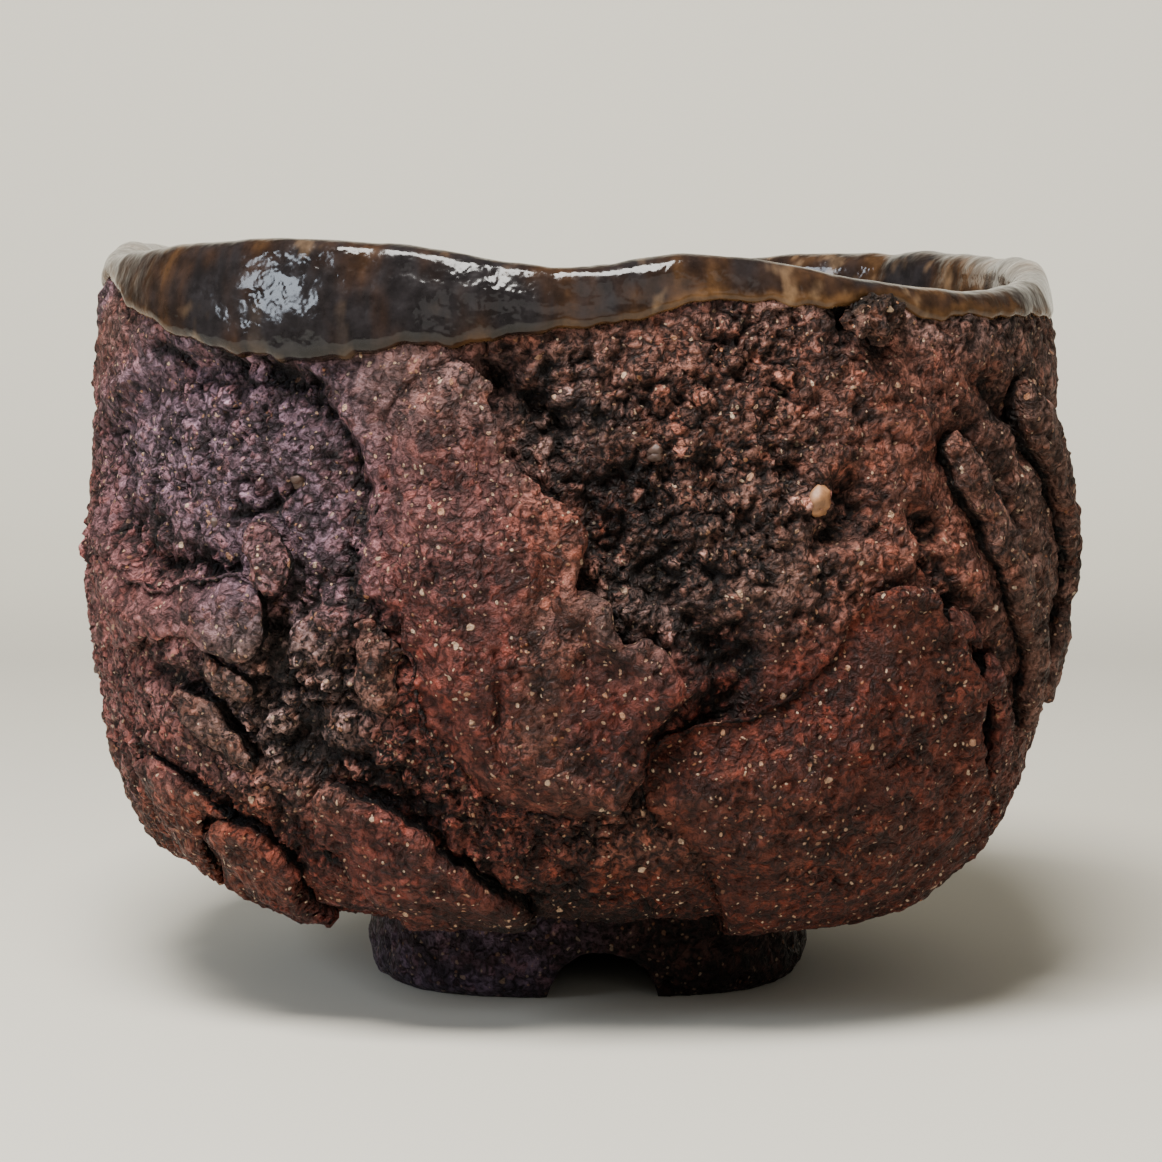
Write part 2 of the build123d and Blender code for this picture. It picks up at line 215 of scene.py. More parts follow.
def crumbs(points, size, seed=0):
    """Distances to the nearest and second-nearest crumb's middle, in sizes, and the nearest one's number."""
    base, f = lattice(points, size)
    first = np.full(points.shape[:-1], 9.0, np.float32)
    second = first.copy()
    own = np.zeros_like(first)
    for offset in np.ndindex(3, 3, 3):
        numbers = hashed([base[k] + np.uint32(offset[k]) - np.uint32(1) for k in range(3)], seed, 4)
        away = 0.0
        for k in range(3):
            away = away + (offset[k] - 1 + numbers[k] - f[k]) ** 2
        nearer = away < first
        second = np.where(nearer, first, np.minimum(second, away))
        own = np.where(nearer, numbers[3], own)
        first = np.where(nearer, away, first)
    return np.sqrt(first), np.sqrt(second), own


def smoothstep(low, high, value):
    """0 at low and beyond it, 1 at high and beyond it, and a smooth change between them."""
    t = np.clip((value - low) / (high - low), 0, 1)
    return t * t * (3 - 2 * t)


def mix(a, b, share):
    """a where the share is 0 and b where it is 1."""
    return a + (b - a) * share


# ---- Places on the front, drawn as seen from straight ahead: X to the right, Z up ----
NOWHERE = 1e3  # stands for a distance to something on the other side of the bowl


def on_front(points):
    """1 on the front half of the bowl and 0 on the back half, with a soft change between them."""
    return smoothstep(6, -6, points[..., 1])


def blob(points, x, z, wide, high):
    """1 at a place on the front, fading to 0 over an ellipse."""
    away = ((points[..., 0] - x) / wide) ** 2 + ((points[..., 2] - z) / high) ** 2
    return np.exp(-away) * on_front(points)


def path_distance(points, path):
    """Distance to a line of places on the front, in the view from straight ahead."""
    best = np.full(points.shape[:-1], NOWHERE)
    for (x0, z0), (x1, z1) in zip(path, path[1:]):
        dx, dz = x1 - x0, z1 - z0
        t = ((points[..., 0] - x0) * dx + (points[..., 2] - z0) * dz) / (dx * dx + dz * dz)
        t = np.clip(t, 0, 1)
        away = np.hypot(points[..., 0] - x0 - t * dx, points[..., 2] - z0 - t * dz)
        best = np.minimum(best, away)
    return best + NOWHERE * (1 - on_front(points))


def groove(points, path, half_width):
    """1 along a line of places on the front, fading to 0 on both sides."""
    return np.exp(-((path_distance(points, path) / half_width) ** 2))


# ---- Colours, as 0 to 255 values on a screen ----
def paint(red, green, blue):
    """The linear colour that a shader needs."""
    screen = np.array([red, green, blue]) / 255.0
    return np.where(screen <= 0.04045, screen / 12.92, ((screen + 0.055) / 1.055) ** 2.4)


PLUM = paint(110, 92, 105)
MAUVE = paint(118, 80, 78)
RED = paint(104, 56, 48)
BRICK = paint(124, 76, 62)
BROWN = paint(106, 75, 65)
UMBER = paint(99, 77, 69)
RUST = paint(106, 50, 28)
ASH = paint(112, 96, 92)
# The dark brown of painted shade.
UNDER_SHADE = paint(42, 30, 27)

# Blotches of colour on the front: X, Z, half-width, half-height, colour, strength.
FRONT_TONES = [
    (-36, 62, 16, 15, PLUM, 1.0),
    (-14, 70, 9, 6, ASH, 0.7),
    (-14, 60, 8, 14, MAUVE, 1.0),
    (-14, 42, 9, 12, RED, 0.7),
    (0, 58, 7, 7, BRICK, 0.6),
    (-1, 66, 6, 6, ASH * 1.3, 1.0),
    (8, 48, 6, 7, ASH * 1.1, 0.7),
    (8, 37, 8, 8, RED * 0.72, 1.2),
    (14, 70, 22, 9, BROWN, 0.8),
    (16, 54, 13, 9, UMBER, 0.9),
    (34, 66, 9, 11, mix(BRICK, UMBER, 0.4), 0.9),
    (36, 50, 8, 9, mix(BRICK, UMBER, 0.4) * 1.1, 1.0),
    (30, 32, 16, 12, RED * 0.85, 0.85),
    (18, 24, 16, 7, BROWN, 0.9),
    (18, 16, 20, 3.5, RUST * 0.8, 1.0),
    (43, 30, 5, 10, BRICK, 0.7),
    (-18, 20, 13, 6, mix(RED, MAUVE, 0.4) * 1.1, 0.9),
    (-40, 20, 9, 8, BRICK, 0.6),
    (-48, 47, 8, 8, MAUVE * 1.2, 0.9),
    (-31, 37, 9, 8, ASH * 1.25, 1.0),
    (-49, 34, 7, 8, MAUVE * 1.2, 0.8),
    (-10, 24, 9, 8, mix(RED, UMBER, 0.35) * 0.85, 0.8),
    # Painted shade low on the front, where the wall turns under.
    (0, 14, 14, 4, UNDER_SHADE, 0.6),
    (52, 60, 7, 30, UMBER, 0.9),
    (38, 78, 16, 4, ASH, 0.8),
]

# How gritty the clay is, from 0, rubbed smooth, to 1, torn open: X, Z, half-width, half-height, value and
# strength.
FRONT_GRIT = [
    (-36, 60, 17, 16, 0.6, 1.0),
    (-15, 62, 10, 22, 0.12, 1.0),
    (12, 57, 15, 14, 1.0, 1.0),
    (16, 72, 18, 6, 0.75, 1.0),
    (38, 62, 9, 18, 0.3, 1.0),
    (30, 26, 20, 16, 0.2, 0.9),
    (-28, 36, 14, 12, 1.0, 1.0),
    (-48, 44, 8, 8, 0.4, 1.0),
    (-8, 22, 10, 8, 0.75, 0.8),
    (50, 50, 8, 24, 0.3, 1.0),
]

# Crevices on the front: the line that each follows, its half-width and its depth. Each is also darkened with
# painted shade.
CREVICES = [
    ([(-50, 54.7), (-48.5, 51.6), (-46.5, 50.4), (-41, 50.6), (-37, 51.4)], 1.9, 1.5),
    ([(-29.6, 60.2), (-33, 57.7), (-36, 56.6)], 0.6, 0.9),
    ([(-44, 73.6), (-42, 72.6)], 1.3, 1.2),
    ([(-37, 73), (-29.5, 71), (-24.8, 66.4), (-22.9, 61.5), (-22.6, 56), (-23.8, 50)], 1.4, 0.6),
    ([(-45.3, 39.3), (-42, 38.4), (-39.6, 35.6), (-37.5, 32.8), (-34.6, 30.4)], 1.2, 1.3),
    ([(-31.8, 43.6), (-32.8, 38), (-29.5, 37), (-27.4, 33)], 2.0, 1.4),
    ([(-29.8, 31.7), (-25.6, 29.9), (-20, 27.6), (-16, 26)], 1.9, 1.4),
    ([(-24, 48), (-19, 46.6), (-17.6, 43)], 1.1, 1.0),
    ([(-25.5, 27.7), (-19.7, 25.3), (-16, 22.8), (-13.6, 20.1), (-10, 16.8), (-5, 13.6)], 1.0, 1.8),
    ([(-38.7, 23.7), (-34.4, 21.7), (-31.4, 19), (-30, 14.2)], 0.9, 1.5),
    ([(-8.4, 71.2), (-5.4, 69.4), (-1.9, 66.6)], 2.0, 1.6),
    ([(-9.5, 75.5), (-9.1, 69.6)], 0.5, 1.0),
    ([(1.2, 57.4), (3.6, 55), (6.4, 51.4)], 1.4, 1.2),
    ([(8, 48.8), (11.6, 46.4), (14.6, 43.6)], 1.4, 1.4),
    ([(15.8, 38.4), (14.6, 34.6), (10.6, 32.6)], 1.6, 1.5),
    ([(28.4, 59.8), (28.9, 57.6), (27.6, 55), (26.2, 54.6)], 1.4, 2.2),
    ([(22.6, 61.8), (21.6, 61.2)], 0.9, 1.2),
    ([(28.6, 79.4), (28.4, 76.4)], 1.2, 1.8),
    ([(17.4, 45.4), (13.2, 41.2)], 0.8, 1.0),
    ([(19, 43.2), (15, 40.6)], 0.7, 0.8),
    ([(44.6, 70), (47.6, 67), (49.6, 64.7), (50.6, 62)], 1.3, 2.0),
    ([(41.4, 64), (44.7, 59.8), (46.5, 56.4), (48.1, 53), (48.8, 48)], 1.5, 2.0),
    ([(36.6, 55.8), (37.9, 51.7), (39.8, 48.5), (42.4, 44.6)], 1.8, 2.0),
    ([(44.4, 41), (45.3, 36), (46.4, 33), (46, 29), (44.6, 24.6), (42.2, 20)], 1.4, 2.4),
]
# Fine cracks that run over the slabs, given in the same way.
SLAB_CRACKS = [
    ([(-7.8, 43.6), (-7.5, 39), (-7.9, 34), (-7.4, 31)], 0.45, 0.9),
    ([(-13.6, 33), (-12.4, 30), (-9.2, 27.4)], 0.5, 0.6),
    ([(24, 20.4), (29, 18.2), (31, 16.6)], 0.5, 0.5),
]
# Hollows on the front: X, Z, half-width, half-height, depth, and the share of the radius taken by the rim.
SCOOPS = [
    (-37, 58.5, 16.4, 15.6, 1.9, 0.12),
    (-29, 37, 13, 10, 0.9, 0.6),
    (9, 55, 12, 12, 0.7, 0.9),
    (41.5, 58, 5.5, 12, 0.9, 0.7),
]
# The long hollow beside the scalloped edge, given as a crevice is, and darkened with painted shade.
RECESS = ([(-6, 70), (0, 63), (6, 56), (11, 49), (16, 42), (16, 37)], 5.0, 1.9)


def front_relief(points):
    """Height of the listed forms of the wall, and the painted shade of its crevices at each point, from 0 to
    1.
    """
    height = np.zeros(points.shape[:-1])
    shade = height.copy()
    wander = points + 0.7 * noise(points, 2.2, 71)[..., None]
    for x, z, wide, high, depth, rim in SCOOPS:
        away = np.hypot((wander[..., 0] - x) / wide, (wander[..., 2] - z) / high)
        height -= depth * smoothstep(1.0 + rim / 3, 1.0 - rim, away) * on_front(points)
    path, wide, depth = RECESS
    inside = groove(wander, path, wide)
    height -= depth * inside
    shade = np.maximum(shade, 0.75 * inside)
    for path, wide, depth in CREVICES:
        uneven = wide * (1 + 0.45 * noise(points, 2.6, 72))
        inside = groove(wander, path, np.maximum(uneven, 0.2))
        height -= depth * inside
        shade = np.maximum(shade, inside)
    return height, shade


def bulge(points):
    """The swollen tongue at the end of the large torn skin, and lobes above it."""
    tongue = 1.5 * blob(points, 11, 39.5, 4.5, 4.5) + 1.0 * blob(points, 5.5, 46, 4, 3.5)
    return tongue + 0.5 * blob(points, 1, 55, 4, 3.5) + 0.6 * blob(points, -16, 56, 6, 15)


def crack_relief(points):
    """Height of the fine cracks, which come and go along their lines."""
    height = np.zeros(points.shape[:-1])
    wander = points + 0.6 * noise(points, 1.8, 73)[..., None]
    for path, wide, depth in SLAB_CRACKS:
        broken = 0.45 + 0.55 * smoothstep(-0.3, 0.2, noise(points, 1.7, 74))
        height -= depth * broken * groove(wander, path, wide)
    return height


# A tint over every colour of clay, high on the wall and low on it. The low tint, darker and redder, is
# painted shade on the lower wall, which faces down.
WARM = np.array([1.04, 0.9, 0.88])
LOW_SHADE_TINT = np.array([0.66, 0.44, 0.35])


def clay_tone(points):
    """The clay's colour before its grain: blotches all round, and placed ones on the front."""
    blotch = rough_noise(points, 21, 11, 3)
    patch = rough_noise(points, 9, 12, 3)
    tone = mix(BROWN, RED, smoothstep(-0.5, 0.6, blotch)[..., None])
    tone = mix(tone, PLUM, smoothstep(0.05, 0.7, rough_noise(points, 17, 13, 3))[..., None])
    placed = np.zeros_like(tone)
    total = np.full(points.shape[:-1], 0.02)
    for x, z, wide, high, colour, strength in FRONT_TONES:
        share = strength * blob(points, x, z, wide, high) ** 1.5
        placed += share[..., None] * colour
        total += share
    tone = mix(tone, placed / total[..., None], smoothstep(0.05, 0.35, total)[..., None])
    # Painted shade: the lower wall is darkened by the low tint.
    height_tint = mix(LOW_SHADE_TINT, WARM, smoothstep(12, 38, points[..., 2])[..., None])
    return tone * height_tint * (1 + 0.25 * patch)[..., None]


def clay_grit(points):
    """How gritty the clay is: uneven all round, and as placed on the front."""
    grit = 0.55 + 0.5 * rough_noise(points, 14, 15, 2)
    for x, z, wide, high, value, strength in FRONT_GRIT:
        grit = mix(grit, value, strength * blob(points, x, z, wide, high))
    return np.clip(grit, 0.05, 1)


def clods(points, grit):
    """Crumbly relief: torn clods and the gaps between them. Returns its height and the gaps, from 0 to 1."""
    bent = wandering(points, 0.5, 1.6, 21)
    near, second, own = crumbs(bent, 2.5, 24)
    gap = smoothstep(0.2, 0.02, second - near)
    fine_near, fine_second, fine_own = crumbs(bent, 1.2, 25)
    fine_gap = smoothstep(0.22, 0.02, fine_second - fine_near)
    height = 0.95 * (own - 0.5) - 0.85 * gap + 0.75 * (fine_own - 0.5) - 0.4 * fine_gap
    loose = smoothstep(0.35, 1.0, grit)
    split = smoothstep(0.1, 0.7, grit)
    broken = smoothstep(-0.35, 0.25, noise(points, 4.5, 26))
    height = height * loose * (0.4 + 0.6 * broken) - 0.55 * gap * split * (1 - loose) * broken
    return height, gap * broken * split + 0.35 * fine_gap * loose


# ---- Making meshes ----
FINISHES = {}  # the material of each of the record's material slots


def new_piece(name, points, faces, material_slot, replaced, attributes=()):
    """A smooth-shaded piece from points in millimetres, which stands for CAD nodes and rides on the bowl."""
    mesh = bpy.data.meshes.new(name)
    mesh.from_pydata((points * MM).tolist(), [], faces)
    for attribute, values in attributes:
        if values.ndim == 2:
            layer = mesh.attributes.new(attribute, "FLOAT_COLOR", "POINT")
            layer.data.foreach_set("color", np.c_[values, np.ones(len(values))].astype(np.float32).ravel())
        else:
            layer = mesh.attributes.new(attribute, "FLOAT", "POINT")
            layer.data.foreach_set("value", values.astype(np.float32))
    mesh.shade_smooth()
    mesh.materials.append(FINISHES[material_slot])
    piece = bpy.data.objects.new(name, mesh)
    bpy.context.scene.collection.objects.link(piece)
    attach(piece, "root")
    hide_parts(*replaced)
    return piece


def grid_faces(rows, columns, closed):
    """Quads of a grid whose points are numbered row by row. A closed grid's last column meets its first."""
    span = columns if closed else columns - 1
    r, c = np.meshgrid(np.arange(rows - 1), np.arange(span), indexing="ij")
    d = (c + 1) % columns
    quads = np.stack([r * columns + c, r * columns + d, (r + 1) * columns + d, (r + 1) * columns + c], -1)
    return quads.reshape(-1, 4)


def bake_layout(piece, across, up):
    """UVs in a layer named OFBake, from a value across and up for each corner of each face."""
    layer = piece.data.uv_layers.new(name="OFBake")
    layer.data.foreach_set("uv", np.stack([across, up], axis=-1).astype(np.float32).ravel())


def tube_piece(name, rings, material_slot, replaced, attributes, capped):
    """A piece from rings of points round the bowl: capped at both ends, or else joined from last to first."""
    count, around = rings.shape[:2]
    quads = grid_faces(count if capped else count + 1, around, closed=True)
    faces = (quads % (count * around)).tolist()
    caps = []
    if capped:
        caps = [list(range(around))[::-1], list(range((count - 1) * around, count * around))]
    flat = [(label, values.reshape(count * around, *values.shape[2:])) for label, values in attributes]
    piece = new_piece(name, rings.reshape(-1, 3), faces + caps, material_slot, replaced, flat)

    # The layout is two strips, one above the other: the back half of the bowl, then the front half.
    row, column = np.divmod(quads, around)
    column[:, 1:3] += around * (quads[:, :1] % around == around - 1)
    half = around // 2
    at_back = (quads[:, :1] % around) < half
    across = np.where(at_back, column, column - half) / half
    up = row / count * 0.495 + np.where(at_back, 0.0, 0.5)
    on_caps = np.zeros(2 * around if capped else 0)
    bake_layout(piece, np.r_[across.ravel(), on_caps], np.r_[up.ravel(), on_caps])


# ---- Slabs ----
# The sides on which the slab fades into the wall, in degrees as seen from outside (0 right, 90 up), how far
# its edge takes to round over, how gritty it is, and its colour.
SLAB_LOOKS = {
    "slab_front_centre": ((90, 135, 180, 225, 270), 1.8, 0.25, None),
    "slab_lower_right": ((90, 135, 180, 225, 270), 1.5, 0.25, paint(82, 36, 24)),
    "slab_lower_left": ((225, 270), 1.2, 0.25, None),
    "slab_heel_left": ((180, 225, 270), 1.1, 0.3, None),
    "slab_corner_left": ((180, 270), 1.0, 0.35, None),
    "slab_band_left": ((90, 180), 1.0, 0.3, None),
    "chip_left_tall": ((0, 270), 1.2, 0.6, BROWN),
    "chip_left_upper": ((90,), 1.2, 0.6, MAUVE),
    "chip_left_middle": ((180,), 1.2, 0.6, BROWN),
    "chip_left_lower": ((180, 270), 1.2, 0.6, BROWN),
    "fold_right_low": ((0, 45, 315), 1.8, 0.35, RED),
    "fold_right_middle": ((0, 30), 1.9, 0.35, BROWN),
    "fold_right_tall": ((0, 30), 1.9, 0.35, BROWN),
    "slab_right_back": ((180, 270), 1.2, 0.3, RED),
    "slab_back_right": ((270,), 1.2, 0.3, BROWN),
    "slab_back_centre": ((90, 180), 1.2, 0.3, RED),
    "slab_back_low": ((270, 0), 1.2, 0.3, BRICK),
    "slab_back_left": ((135, 270), 1.2, 0.3, MAUVE),
    "slab_left_low": ((270,), 1.2, 0.3, BROWN),
    "slab_left_high": ((90, 0), 1.2, 0.3, RED),
}
# These two slabs are crisp only along one line on the front, and fade out elsewhere.
CRISP_EDGES = {
    "slab_front_centre": [(-7, 71), (-3, 62), (2, 56), (3, 50), (9, 44), (13, 40), (9, 34), (6, 30)],
    "slab_lower_right": [(35, 51), (41, 44.5), (44, 39), (44, 30), (43, 24), (40, 18)],
}
UNDER = 0.8  # how far the wall gives way under a slab
DEEPEST = -1.7  # where a slab's hidden underside lies
FADE = 6.5  # how far a slab's face takes to rise from the wall on a side where it fades into it
MARGIN = 3.0  # how far past a slab's CAD box its patch of the sheet reaches
SIDE_FACING = 0.45  # a CAD face is a slab's side if less than this much of its normal is along the wall's


class Patch:
    """The part of the sheet near a slab, with the distance from the slab's edge, more than 0 inside it."""

    def __init__(self, cad, sheet, normals, wall_tree):
        corners = np.array([v.co for v in cad.data.vertices]) / MM
        middle = corners.mean(axis=0)
        turn = int(round(np.arctan2(middle[1], middle[0]) / (2 * pi) * AROUND))
        self.shift = AROUND // 2 - turn
        points = np.roll(sheet, self.shift, axis=1)
        above = points > corners.min(axis=0) - MARGIN
        below = points < corners.max(axis=0) + MARGIN
        near = (above & below).all(axis=2)
        rows, columns = np.nonzero(near)
        self.rows = slice(rows.min(), rows.max() + 1)
        self.columns = slice(columns.min(), columns.max() + 1)
        self.points = points[self.rows, self.columns]
        self.normals = np.roll(normals, self.shift, axis=1)[self.rows, self.columns]

        def on_edge(polygon):
            facing = wall_tree.find_nearest(polygon.center / MM)[1]
            return abs(polygon.normal.dot(facing)) < SIDE_FACING

        edge = mesh_tree(cad, on_edge)
        near = near[self.rows, self.columns]
        inside = np.full(near.shape, -MARGIN - 1)
        for row, column in zip(*np.nonzero(near)):
            place = Vector(self.points[row, column])
            hit, facing, _, away = edge.find_nearest(place)
            inside[row, column] = -away if (place - hit).dot(facing) > 0 else away
        uneven = 0.9 * noise(self.points, 3.6, 61) + 0.45 * noise(self.points, 1.5, 62)
        self.inside = soften(soften(inside, 2, axis=0), 2, axis=1)
        self.inside += uneven * smoothstep(-MARGIN, 0, inside)

        along = np.gradient(self.points, axis=0)
        around = np.gradient(self.points, axis=1)
        slope_along, slope_around = np.gradient(self.inside)
        self.inward = (
            slope_along[..., None] * along / (along**2).sum(axis=2, keepdims=True)
            + slope_around[..., None] * around / (around**2).sum(axis=2, keepdims=True)
        )
        length = np.maximum(np.linalg.norm(self.inward, axis=2, keepdims=True), 0.4)
        self.inward = self.inward / length

    def softness(self, name, sides):
        """1 where the nearest edge is one that fades into the wall."""
        if name in CRISP_EDGES:
            return smoothstep(3.5, 6.5, path_distance(self.points, CRISP_EDGES[name]))
        across = np.cross([0.0, 0.0, 1.0], self.normals)
        right = -(self.inward * across).sum(axis=2)
        up = -self.inward[..., 2]
        soft = np.zeros(right.shape)
        for angle in np.radians(sides):
            soft = np.maximum(soft, smoothstep(0.35, 0.85, right * cos(angle) + up * sin(angle)))
        return soften(soften(soft, 12, axis=0), 12, axis=1)

    def put(self, whole, values):
        """An array that covers the sheet, with the patch's values where they are higher."""
        rolled = np.roll(whole, self.shift, axis=1)
        rolled[self.rows, self.columns] = np.maximum(rolled[self.rows, self.columns], values)
        return np.roll(rolled, -self.shift, axis=1)


# Where the potter's hands pushed the wall out or in: X, Y, Z, radius and height.
PUSHES = [
    (53, -6, 27, 15, -1.9),
    (56, -4, 50, 14, -0.9),
    (-48, -6, 17, 10, 1.3),
    (-55, -4, 55, 14, -0.5),
]


def swell_of(points):
    """The gentle swells that every piece on the wall shares."""
    swell = 0.6 * rough_noise(points, 17, 41, 2)
    for x, y, z, radius, height in PUSHES:
        swell += height * np.exp(-((points - np.array([x, y, z])) ** 2).sum(axis=-1) / radius**2)
    return swell


def surface_grain(points, grit):
    """Shared swells, leathery skin and fine crumbs. Also returns the cracks between the crumbs."""
    swell = swell_of(points)
    leather = 0.3 * rough_noise(points, 2.6, 42, 3, 0.6)
    bent = wandering(points, 0.4, 1.3, 45)
    near, second, own = crumbs(bent, 1.1, 43)
    crack = smoothstep(0.2, 0.04, second - near) * smoothstep(-0.15, 0.35, noise(points, 2.6, 44))
    crumb = (own - 0.4) * 0.45 * (0.45 + 0.55 * grit) - 0.3 * crack
    return swell + leather + crumb, crack


def slab_quads(inside):
    """The patch's quads that lie inside the slab, and the edges that only one of them has."""
    quads = grid_faces(*inside.shape, closed=False)
    quads = quads[inside.ravel()[quads].mean(axis=1) > 0]
    edges = np.concatenate([quads[:, [i, (i + 1) % 4]] for i in range(4)])
    key = edges[:, 0].astype(np.int64) * inside.size + edges[:, 1]
    twin = edges[:, 1].astype(np.int64) * inside.size + edges[:, 0]
    return quads, edges[~np.isin(key, twin)]


def slab_layout(piece, quads, columns, around):
    """UVs with the face above, the three skirts of around quads below it, and the underside at the bottom."""
    row, column = np.divmod(quads, columns)
    face_across = (column - column.min()) / np.ptp(column)
    face_up = (row - row.min()) / np.ptp(row)
    step = np.arange(around)[:, None] / around
    ends = np.concatenate([step + 1 / around, step, step, step + 1 / around], axis=1)
    skirt_up = np.concatenate([np.tile([k, k, k + 1, k + 1], (around, 1)) for k in range(3)])
    across = np.concatenate([face_across, np.tile(ends, (3, 1)), face_across[:, ::-1]])
    up = np.concatenate([0.06 + 0.94 * face_up, 0.015 + 0.012 * skirt_up, 0.01 * face_up[:, ::-1]])
    bake_layout(piece, across, up)


def slab_piece(name, patch, softness, rounding, grit_level, colour, thickness):
    """The slab as a closed skin: its face, a rounded and undercut edge, and a hidden underside."""
    quads, rim = slab_quads(patch.inside)
    inside = patch.inside.ravel()
    used = np.unique(quads)
    on_rim = np.zeros(len(inside), bool)
    on_rim[rim] = True

    points = patch.points.reshape(-1, 3).copy()
    normals = patch.normals.reshape(-1, 3)
    inward = patch.inward.reshape(-1, 3)
    points[on_rim] -= inward[on_rim] * np.clip(inside[on_rim], -0.5, 0.5)[:, None]
    depth_in = np.where(on_rim, 0.0, np.maximum(inside, 0.0))
    soft = softness.ravel()

    share = np.clip(depth_in / rounding, 0, 1)
    crisp_rise = thickness * (0.5 + 0.5 * np.sqrt(1 - (1 - share) ** 2))
    ramp = min(FADE, 0.9 * inside.max())
    soft_rise = mix(-1.0, thickness, smoothstep(-0.5, ramp, depth_in))
    rise = mix(crisp_rise, soft_rise, soft)
    grit = np.clip(grit_level + 0.35 * rough_noise(points, 8, 63, 2), 0.05, 1)
    wear = 0.35 * noise(points, 5.5, 64) * smoothstep(0, 2, depth_in)
    grain, cracks = surface_grain(points, grit)
    face = points + normals * (rise + wear + grain + crack_relief(points) + bulge(points))[:, None]
    swell = swell_of(points)
    lip = points + normals * (swell + 0.3 * rise)[:, None] + inward * 0.05
    tuck = points + normals * (swell - 0.55)[:, None] + inward * 0.4
    under = points + normals * (swell + DEEPEST)[:, None] + inward * np.where(on_rim, 0.5, 0)[:, None]

    tone = clay_tone(points)
    if colour is not None:
        tone = mix(tone, colour, 0.7)
    edge_light = 1 + 0.28 * np.exp(-((depth_in / 0.8) ** 2)) * (1 - soft)
    tone = tone * edge_light[:, None]
    # Painted shade in the fine cracks.
    painted_shade = 0.75 * cracks

    # The face and the underside have every point, and the two layers between them only those on the rim.
    layers = [face, lip, tuck, under]
    place = np.full((4, len(inside)), -1)
    place[0, used] = np.arange(len(used))
    rim_only = np.flatnonzero(on_rim)
    start = len(used)
    for layer in (1, 2):
        place[layer, rim_only] = start + np.arange(len(rim_only))
        start += len(rim_only)
    place[3, used] = start + np.arange(len(used))
    chosen = [used, rim_only, rim_only, used]
    all_points = np.concatenate([layer[c] for layer, c in zip(layers, chosen)])
    all_tone = np.concatenate([tone[c] for c in chosen])
    # The skirts under the overhanging edge and the hidden underside get more painted shade.
    all_painted_shade = np.concatenate([painted_shade[used], painted_shade[rim_only] + 0.5, painted_shade[rim_only] + 1, painted_shade[used] + 1])
    all_grit = np.concatenate([grit[c] for c in chosen])

    # The rim's edges are put in order round the slab, so that its skirts lie evenly in the layout.
    middle = points[used].mean(axis=0)
    sideways = np.cross([0, 0, 1.0], normals[used].mean(axis=0))
    spot = points[rim].mean(axis=1) - middle
    rim = rim[np.argsort(np.arctan2(spot[:, 2], spot @ sideways))]
    ahead, behind = place[:, rim[:, 1]], place[:, rim[:, 0]]
    skirts = [np.stack([ahead[k], behind[k], behind[k + 1], ahead[k + 1]], axis=1) for k in range(3)]
    faces = np.concatenate([place[0][quads]] + skirts + [place[3][quads][:, ::-1]])
    attributes = (("tone", all_tone), ("grit", all_grit), ("painted_shade", all_painted_shade))
    piece = new_piece(name + "_skin", all_points, faces.tolist(), slab_slot(name), [name], attributes)
    slab_layout(piece, quads, patch.inside.shape[1], len(rim))


def slab_slot(name):
    """The material slot of a slab's clay."""
    if name.startswith("fold"):
        return "fold_clay"
    return "burnt_slab" if name in ("slab_lower_right", "slab_front_centre") else "red_slab"


# ---- Glaze ----
LIP_ROWS = 120
FLOOR_ROWS = 170
GLAZE_SEARCH = 50  # rows on each side of the crest among which the glaze's two edges are looked for
GLAZE_TOUCH = 0.35  # a point of the sheet this near to the CAD glaze is under it
GLAZE_OVERLAP = 3.0  # how far the inner glaze reaches up under the lip's
# The darkest glaze colour, partly the glaze's own and partly painted reflection: it is lifted a little grey
# and cool to stand for a hazy sheen.
GLAZE_DARK_AND_SHEEN = paint(29, 26, 27)
GLAZE_BROWN = paint(44, 30, 22)
GLAZE_AMBER = paint(86, 60, 36)
GLAZE_TAN = paint(140, 112, 84)

# Where the lip's glaze lies thick on the front: X, Z, half-width, half-height, strength.
FRONT_POOLS = [
    (-40, 79, 8, 4, 0.5),
    (-28, 76, 13, 6, 1.0),
    (-14, 78, 12, 5, 0.8),
    (2, 81, 10, 3, 0.25),
]


def glaze_span(glaze, sheet, outer_rows):
    """The sheet's first and last rows under the lip's glaze, at each column."""
    tree = mesh_tree(glaze)
    reach = range(outer_rows - GLAZE_SEARCH, outer_rows + GLAZE_SEARCH)
    read = range(0, AROUND, 10)
    spans = []
    for column in read:
        away = [tree.find_nearest(Vector(sheet[row, column]))[3] for row in reach]
        covered = [row for row, distance in zip(reach, away) if distance < GLAZE_TOUCH]
        spans.append((covered[0], covered[-1]))
    spans = np.array(spans, float)
    columns = np.arange(AROUND)
    first, last = (np.interp(columns, list(read), spans[:, k], period=AROUND) for k in range(2))
    edge = sheet[np.rint(first).astype(int), columns]
    first = first + (0.8 * noise(edge, 6.0, 81) + 0.45 * noise(edge, 2.4, 82)) / STEP
    return first, last


def sheet_between(sheet, first, last, count):
    """Even rows between two rows of the sheet that vary by column, and their distances from each."""
    place = first + (last - first) * np.linspace(0, 1, count)[:, None]
    low = np.clip(np.floor(place).astype(int), 0, len(sheet) - 2)
    columns = np.arange(AROUND)
    points = mix(sheet[low, columns], sheet[low + 1, columns], (place - low)[..., None])
    return points, (place - first) * STEP, (last - place) * STEP


def bead(distance, width):
    """A coat's rounded edge: 0 at the edge, and 1 from width on."""
    return np.sqrt(1 - (1 - np.clip(distance / width, 0, 1)) ** 2)


